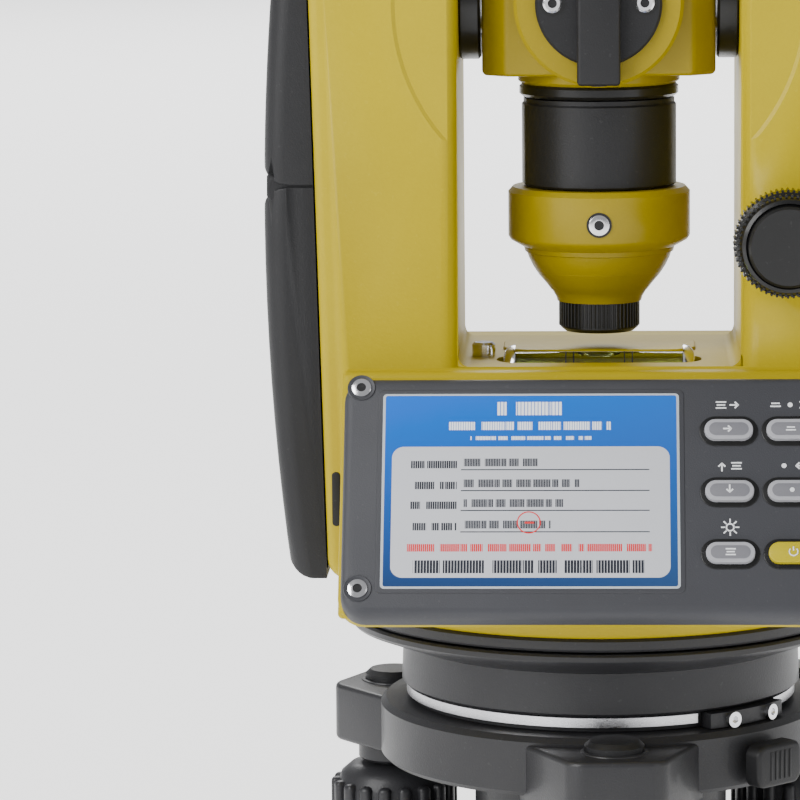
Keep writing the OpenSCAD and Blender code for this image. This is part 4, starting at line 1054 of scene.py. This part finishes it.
# The eyepiece cover takes the darker enamel, which is painted shade.
piece("eyepiece_bell", turned(bowl, 160, True, cover_z0.z), "telescope", "shaded_yellow_enamel",
      replaces=["eyepiece_cover"])
eye_low, eye_high = span("eyepiece_ring")
eye_r = (eye_high.x - eye_low.x) / 2
eye_h = eye_high.z - eye_low.z
eye = turned([(0, 2.2), (4.0, 2.2), (6.4, 0), (eye_r - 1.6, 0), (eye_r - 0.4, 1.0),
              (eye_r - 0.4, eye_h - 0.6), (eye_r - 1.0, eye_h), (0, eye_h)], 96,
             foot=eye_low.z)
eye = merged(eye, knurl(eye_r - 0.4, eye_low.z + 1.4, eye_high.z - 0.9, 56, 0.55, 0.38))
piece("eyepiece_grip", eye, "eyepiece", "black_anodised", replaces=["eyepiece_ring"])

# %% Telescope screws
BAND_SCREW_Z = 175.5
rim = turned([(2.0, 0.12), (3.2, 0.12), (3.2, -0.4), (2.0, -0.4)], 40, ring=True)
tele_spots = [(turn(90 + 90 * s) @ at(x, -28.0, tilt_axis) @ TO_FRONT, 2.4, 0.9)
              for s in (-1, 1) for x in (-11.6, 11.6)]
tele_spots += [(turn(120 * i) @ at(0, -23.5, BAND_SCREW_Z) @ TO_FRONT, 2.6, 0.5)
               for i in range(3)]
tele_rims = copies(rim, [spot for spot, _, _ in tele_spots])
tele_heads, tele_socket_shade = screws(tele_spots)
piece("telescope_screw_rims", merged(*tele_rims), "telescope", "black_anodised")
piece("telescope_screw_heads", tele_heads, "telescope", "bright_screws",
      replaces=["telescope_screws"])
# The black fills down in the sockets are painted shade.
piece("telescope_screw_socket_shade", tele_socket_shade, "telescope", "black_plastic")

# %% [markdown]
# ## Circle housing, flange and tribrach
# Below the casting everything is turned: a black flange, the drum that holds the circle, and
# the round tribrach body with three ears for the foot screws.

# %% Drum and flange
drum_low, drum_high = span("circle_housing")
STEP_Z = span("tribrach_body")[1].z
DRUM_Z = STEP_Z + 4.4
SPIGOT_R = 29.95
drum_top = drum_high.z
drum = turned([(20, drum_low.z), (SPIGOT_R, drum_low.z), (SPIGOT_R, STEP_Z), (49.2, STEP_Z),
               (49.5, STEP_Z + 0.3), (49.5, DRUM_Z), (51.3, DRUM_Z), (52.0, DRUM_Z + 0.7),
               (51.6, drum_top - 7.5), (64.7, drum_top - 2.7), (SHELL_R, drum_top - 1.8),
               (SHELL_R, drum_top - 0.6), (SHELL_R - 0.6, drum_top), (46, drum_top),
               (46, DRUM_Z + 2.4), (20, DRUM_Z + 2.4)], 180, ring=True)
piece("drum_skin", drum, "root", "dark_enamel", replaces=["circle_housing"])
flange_low, flange_high = span("flange_ring")
flange_h = flange_high.z - flange_low.z
flange = turned([(22.1, 0), (SHELL_R - 0.7, 0), (SHELL_R, 0.7), (SHELL_R, flange_h - 0.7),
                 (SHELL_R - 0.7, flange_h), (22.1, flange_h)], 180, True, flange_low.z)
piece("flange_skin", flange, "alidade", "dark_enamel", replaces=["flange_ring"])

# %% Tribrach body with its ears
FOOT_R = 62.4
FOOT_ANGLES = [-86.8, 33.2, 153.2]
TRI_HIGH = STEP_Z
TRI_LOW = TRI_HIGH - 15.4
BARREL_R = 57.6
EAR_LOW, EAR_HIGH = TRI_LOW - 2.0, TRI_HIGH - 2.0
EAR_OUT = FOOT_R + 12.6
EAR_ROOT = 0.052         # edges nearer the middle than this stay sharp, in metres
CAP_TOP = span("foot_caps")[1].z
HUB_LOW = 12.5
PILLAR_LOW = 26.2
round_body = turned([(30, TRI_HIGH), (BARREL_R - 1.4, TRI_HIGH), (BARREL_R, TRI_HIGH - 1.4),
                     (BARREL_R, TRI_LOW + 1.2), (BARREL_R - 1.2, TRI_LOW), (33, TRI_LOW),
                     (33, HUB_LOW + 1), (32, HUB_LOW), (22, HUB_LOW), (22, 36), (30, 36)],
                    160, ring=True)


def ear():
    """One arm of the tribrach, its end rounded, with the socket that holds a foot screw."""
    root, half = 23.0, 11.5
    plan = [(33, -root), (50.6, -root), (EAR_OUT, -half), (EAR_OUT, half), (50.6, root),
            (33, root)]
    arm = moved(prism(plan, EAR_HIGH - EAR_LOW), turn(90, "X"))
    moved(arm, at(0, 0, (EAR_LOW + EAR_HIGH) / 2))
    outer = (EAR_OUT - 0.1) * MM
    soften(arm, 3.6, 6, lambda e: runs_along(2)(e) and e.verts[0].co.x > outer)
    soften(arm, 1.3, 4, lambda e: max(v.co.x for v in e.verts) > EAR_ROOT)
    pillar = turned([(4.1, PILLAR_LOW), (8.7, PILLAR_LOW), (9.5, PILLAR_LOW + 0.8),
                     (9.5, EAR_LOW + 1), (4.1, EAR_LOW + 1)], 64, ring=True)
    lip = turned([(7.6, -0.2), (8.6, -0.2), (8.4, 0.25), (8.0, 0.4), (7.6, 0.4)], 64, True,
                 EAR_HIGH)
    return merged(arm, moved(merged(pillar, lip), at(FOOT_R)))


level_spot = centre_of("round_level_cup")
level_angle = math.degrees(math.atan2(level_spot.y, level_spot.x))
level_pitch = math.hypot(level_spot.x, level_spot.y)
shelf = soften(block(26, 18, 5), 0.8, 3)
shelf = merged(moved(shelf, at(level_pitch - 13)),
               moved(turned([(0, -2.5), (8.4, -2.5), (9, -1.9), (9, 2.0), (8.5, 2.5),
                             (0, 2.5)], 64), at(level_pitch)))
body_parts = [round_body, moved(shelf, turn(level_angle) @ at(0, 0, TRI_LOW + 3.5))]
body_parts += [moved(ear(), turn(angle)) for angle in FOOT_ANGLES]
piece("tribrach_casting", merged(*body_parts), "root", "dark_enamel",
      replaces=["tribrach_body"])
foot_cap = turned([(0, EAR_HIGH - 0.2), (7.5, EAR_HIGH - 0.2), (7.5, CAP_TOP - 1.4),
                   (6.2, CAP_TOP - 0.2), (3.0, CAP_TOP), (0, CAP_TOP)], 64)
caps = copies(foot_cap, [turn(angle) @ at(FOOT_R) for angle in FOOT_ANGLES])
piece("foot_cap_domes", merged(*caps), "root", "black_plastic",
      replaces=["foot_caps"])
cup_low, cup_high = span("round_level_cup")
cup_h = cup_high.z - cup_low.z
vial_cup = turned([(0, 0), (8.6, 0), (9, 0.4), (9, cup_h - 0.7), (8.3, cup_h), (7.5, cup_h),
                   (7.5, 1.5), (0, 1.5)], 72, foot=cup_low.z)
piece("round_level_housing", moved(vial_cup, turn(level_angle) @ at(level_pitch)), "root",
      "black_anodised", replaces=["round_level_cup"])

# %% [markdown]
# ## Foot screws
# Each foot wheel has deep ribs round a turned core, and an olive line below the ribs.

# %% Foot wheels
WHEEL_LOW, WHEEL_H, WHEEL_R = 10.1, 15.4, 17.0
WHEEL_RIBS = 18


def foot_wheel():
    core = turned([(0, 0), (14.6, 0), (15.4, 0.8), (15.4, 9.0), (14.2, 12.6),
                   (11.5, WHEEL_H - 0.5), (8.4, WHEEL_H), (0, WHEEL_H)], 96, foot=WHEEL_LOW)
    ribs = []
    for i in range(WHEEL_RIBS):
        rib = moved(block(3.0, 3.4, 9.6), at(WHEEL_R - 1.5, 0, WHEEL_LOW + 6.2))
        soften(rib, 1.2, 3, lambda e: max(v.co.x for v in e.verts) > (WHEEL_R - 0.1) * MM)
        ribs.append(moved(rib, turn(360 / WHEEL_RIBS * (i + 0.5))))
    return merged(core, *ribs)


band = turned([(15.3, 0.3), (16.2, 0.5), (16.2, 1.5), (15.3, 1.7)], 96, True, WHEEL_LOW)
spindle = turned([(0, 3.1), (3.4, 3.1), (4.0, 3.7), (4.0, 47), (0, 47)], 48)
for i, angle in enumerate(FOOT_ANGLES, 1):
    place = turn(angle) @ at(FOOT_R)
    piece(f"foot_wheel_{i}", moved(foot_wheel(), place), f"foot_{i}", "dark_enamel",
          replaces=[f"foot_screw_{i}"])
    for part, mesh, colour in (("band", band, "olive_band"), ("spindle", spindle, "steel")):
        piece(f"foot_{part}_{i}", moved(mesh.copy(), place), f"foot_{i}", colour)
band.free()
spindle.free()

# %% Lock lever
ON_LOCK = turn(-45) @ at(BARREL_R, 0, joint("lock_turn")["pos_m"][2] / MM) @ TO_RIGHT
lever = slab(11, 16, 4.6, 3.0, 1.1)
grips = [moved(block(7.5, 0.8, 0.6, 0.25, 2), at(0, 1.7 * k, 4.55)) for k in (-2, -1, 0, 1, 2)]
lever = moved(merged(lever, *grips), at(0, 0, 2.2))
pin = turned([(0, -8.9), (4.0, -8.9), (4.0, 2.6), (0, 2.6)], 48)
piece("lock_lever_grip", moved(merged(lever, pin), ON_LOCK), "lock_lever", "black_plastic",
      replaces=["lock_lever"])

# %% [markdown]
# ## Handle
# The carrying handle is a squared arch with rounded edges, drawn between an outer and an
# inner arch. It stands on two screwed feet.

# %% Carrying handle
HANDLE_W = handle_high.x - handle_low.x
HANDLE_T = 22.0
LEG_T = 14.0
UNDER_Z = 322.0
LONGEST_ROUNDED = 0.05   # longer edges stay sharp, in metres


def arch_outline(half_w, low_z, high_z, corner, steps=12):
    """An arch in x and z: straight legs and rounded top corners, from left to right."""
    points = [(-half_w, low_z)]
    for side in (-1, 1):
        for k in range(steps + 1):
            share = k / steps if side < 0 else 1 - k / steps
            a = math.radians(180 - 90 * share) if side < 0 else math.radians(90 * share)
            points.append((side * (half_w - corner) + corner * math.cos(a),
                           high_z - corner + corner * math.sin(a)))
    points.append((half_w, low_z))
    return points


def arch():
    """A sweep between an outer and an inner arch, its long edges rounded."""
    outer = arch_outline(HANDLE_W / 2, handle_low.z, handle_high.z, 18)
    inner = arch_outline(HANDLE_W / 2 - LEG_T, handle_low.z, UNDER_Z, 12)
    mesh = bmesh.new()
    rows = []
    for row in (outer, inner):
        verts = [mesh.verts.new((x * MM, -HANDLE_T / 2 * MM, z * MM)) for x, z in row]
        rows += [mesh.edges.new(pair) for pair in zip(verts, verts[1:])]
    pull(mesh, bmesh.ops.bridge_loops(mesh, edges=rows)["faces"], HANDLE_T)
    rail = (HANDLE_T / 2 - 0.1) * MM
    return soften(mesh, 3.6, 5, lambda e: edge_angle(e) > math.radians(60)
                  and e.calc_length() < LONGEST_ROUNDED
                  and all(abs(v.co.y) > rail for v in e.verts))


feet = [moved(slab(26, HANDLE_T + 8, 5, 4.0, 1.0), at(s * (HANDLE_W / 2 - LEG_T), 0,
                                                    handle_low.z)) for s in (-1, 1)]
lugs = copies(turned([(0, 0), (4.4, 0), (4.4, 4.4), (3.8, 5.0), (0, 5.0)], 40),
              [at(x, y, handle_low.z) for x, y in handle_screw_at])
piece("handle_arch", merged(arch(), *feet, *lugs), "alidade", "dark_enamel",
      replaces=["carry_handle"])

# %% [markdown]
# ## Plate level
# The level is a bright tube that is open above, a greenish vial with four black lines, and a
# bubble, which is a thin ellipsoid inside the top of the vial.

# %% Level tube, vial, bubble
LEVEL_Y = -17.0
LEVEL_Z = 137.8
LEVEL_R = 6.4
TUBE_CUT = -0.0012       # where the tube is open, in metres from its axis
vial_low, vial_high = span("plate_level_vial")
vial_len = vial_high.x - vial_low.x
vial_mid_x = (vial_low.x + vial_high.x) / 2


def end_cap(x, length):
    cap = turned([(0, 0), (LEVEL_R - 3.0, 0), (LEVEL_R - 1.4, 0.5), (LEVEL_R - 0.4, 1.5),
                  (LEVEL_R, 2.6), (LEVEL_R, length), (0, length)], 64)
    return moved(cap, at(x, LEVEL_Y, LEVEL_Z) @ TO_RIGHT)


cap_len = vial_low.x - level_low.x + 0.2
left_cap = end_cap(level_low.x, cap_len)
right_cap = moved(end_cap(0, cap_len), at(level_high.x) @ MIRROR_X)
half_tube = turned([(LEVEL_R - 1.5, 0), (LEVEL_R, 0), (LEVEL_R, vial_len),
                    (LEVEL_R - 1.5, vial_len)], 64, ring=True)
moved(half_tube, at(vial_low.x, 0, 0) @ TO_RIGHT)
cut_above(half_tube, TUBE_CUT, 8)
moved(half_tube, at(0, LEVEL_Y, LEVEL_Z))
piece("level_case", merged(left_cap, right_cap, half_tube), "alidade", "bright_screws",
      replaces=["plate_level_tube"])
glass_r = (vial_high.z - vial_low.z) / 2
rod = turned([(0, 0), (glass_r - 0.3, 0), (glass_r, 0.3), (glass_r, vial_len - 0.3),
              (glass_r - 0.3, vial_len), (0, vial_len)], 64)
piece("level_vial", moved(rod, at(vial_low.x, LEVEL_Y, LEVEL_Z) @ TO_RIGHT), "alidade",
      "level_glass", replaces=["plate_level_vial"])
bubble = bmesh.new()
bmesh.ops.create_uvsphere(bubble, u_segments=32, v_segments=16, radius=1.0)
bmesh.ops.scale(bubble, vec=(5.5 * MM, 1.9 * MM, 0.9 * MM), verts=bubble.verts)
piece("level_bubble", moved(bubble, at(vial_mid_x, LEVEL_Y, LEVEL_Z + glass_r - 1.1)),
      "alidade", "window_glass")
marks = []
for x in (-8.5, -6.5, 6.5, 8.5):
    line = turned([(glass_r - 0.05, -0.15), (glass_r + 0.05, -0.15), (glass_r + 0.05, 0.15),
                   (glass_r - 0.05, 0.15)], 64, ring=True)
    marks.append(moved(line, at(vial_mid_x + x, LEVEL_Y, LEVEL_Z) @ TO_RIGHT))
piece("level_graduations", merged(*marks), "alidade", "black_plastic")
trim_low = span("level_screw")[0]
trim_mid = centre_of("level_screw")
trim = turned([(0, trim_low.z), (1.4, trim_low.z), (1.4, DECK_Z), (3.0, DECK_Z),
               (3.0, DECK_Z + 3.0), (2.4, DECK_Z + 3.6), (0, DECK_Z + 3.6)], 48)
piece("level_trim_screw", moved(trim, at(trim_mid.x, trim_mid.y)), "alidade",
      "bright_screws", replaces=["level_screw"])
deck_plate = moved(slab(50, 26, 1.0, 8.0, 0.5), at(0, 8, DECK_Z - 0.1))
piece("deck_plate", deck_plate, "alidade", "yellow_enamel")

# %% [markdown]
# ## Floor, lights and camera
# A pale floor, a broad soft key from the upper left, a weaker fill from the right and a
# large light on the backdrop give the even light of a catalogue. The camera stands well back.

# %% Stage
floor_finish = Finish("floor_pale")
floor_finish.set(Base_Color=(0.90, 0.90, 0.90), Roughness=0.65,
                 Emission_Color=(1.0, 1.0, 1.0), Emission_Strength=0.85)
floor_mesh = bmesh.new()
bmesh.ops.create_grid(floor_mesh, x_segments=1, y_segments=1, size=30.0)
floor = placed("floor", as_data("floor", floor_mesh))
floor.data.materials.append(floor_finish.material)


def soft_light(name, power, size, spot, target):
    data = bpy.data.lights.new(name, "AREA")
    data.energy = power
    data.shape = "RECTANGLE"
    data.size, data.size_y = size
    lamp = placed(name, data)
    lamp.location = spot
    lamp.rotation_euler = (Vector(target) - Vector(spot)).to_track_quat("-Z", "Y").to_euler()


AIM = (0.0, 0.0, 0.16)
soft_light("key", 30, (0.9, 1.2), (-1.0, -0.9, 0.95), AIM)
soft_light("fill", 5, (0.8, 1.2), (1.2, -0.9, 0.7), AIM)
soft_light("backdrop", 190, (3.5, 3.0), (0.0, 3.2, 2.6), (0.0, 2.2, 0.0))
world = bpy.data.worlds.new("studio")
world.use_nodes = True
world.node_tree.nodes["Background"].inputs["Color"].default_value = (0.97, 0.98, 1.0, 1.0)
world.node_tree.nodes["Background"].inputs["Strength"].default_value = 0.45
bpy.context.scene.world = world

# %% Camera
eye = Vector((0.0, -1.160, 0.291))
aim = Vector((-0.052, 0.0, 0.1276))
lens = bpy.data.cameras.new("camera")
lens.lens = 202.3
lens.sensor_width = 36.0
camera = placed("camera", lens)
camera.location = eye
camera.rotation_euler = ((aim - eye).to_track_quat("-Z", "Y").to_matrix()
                         @ Matrix.Rotation(math.radians(-0.5), 3, "Z")).to_euler()
bpy.context.scene.camera = camera
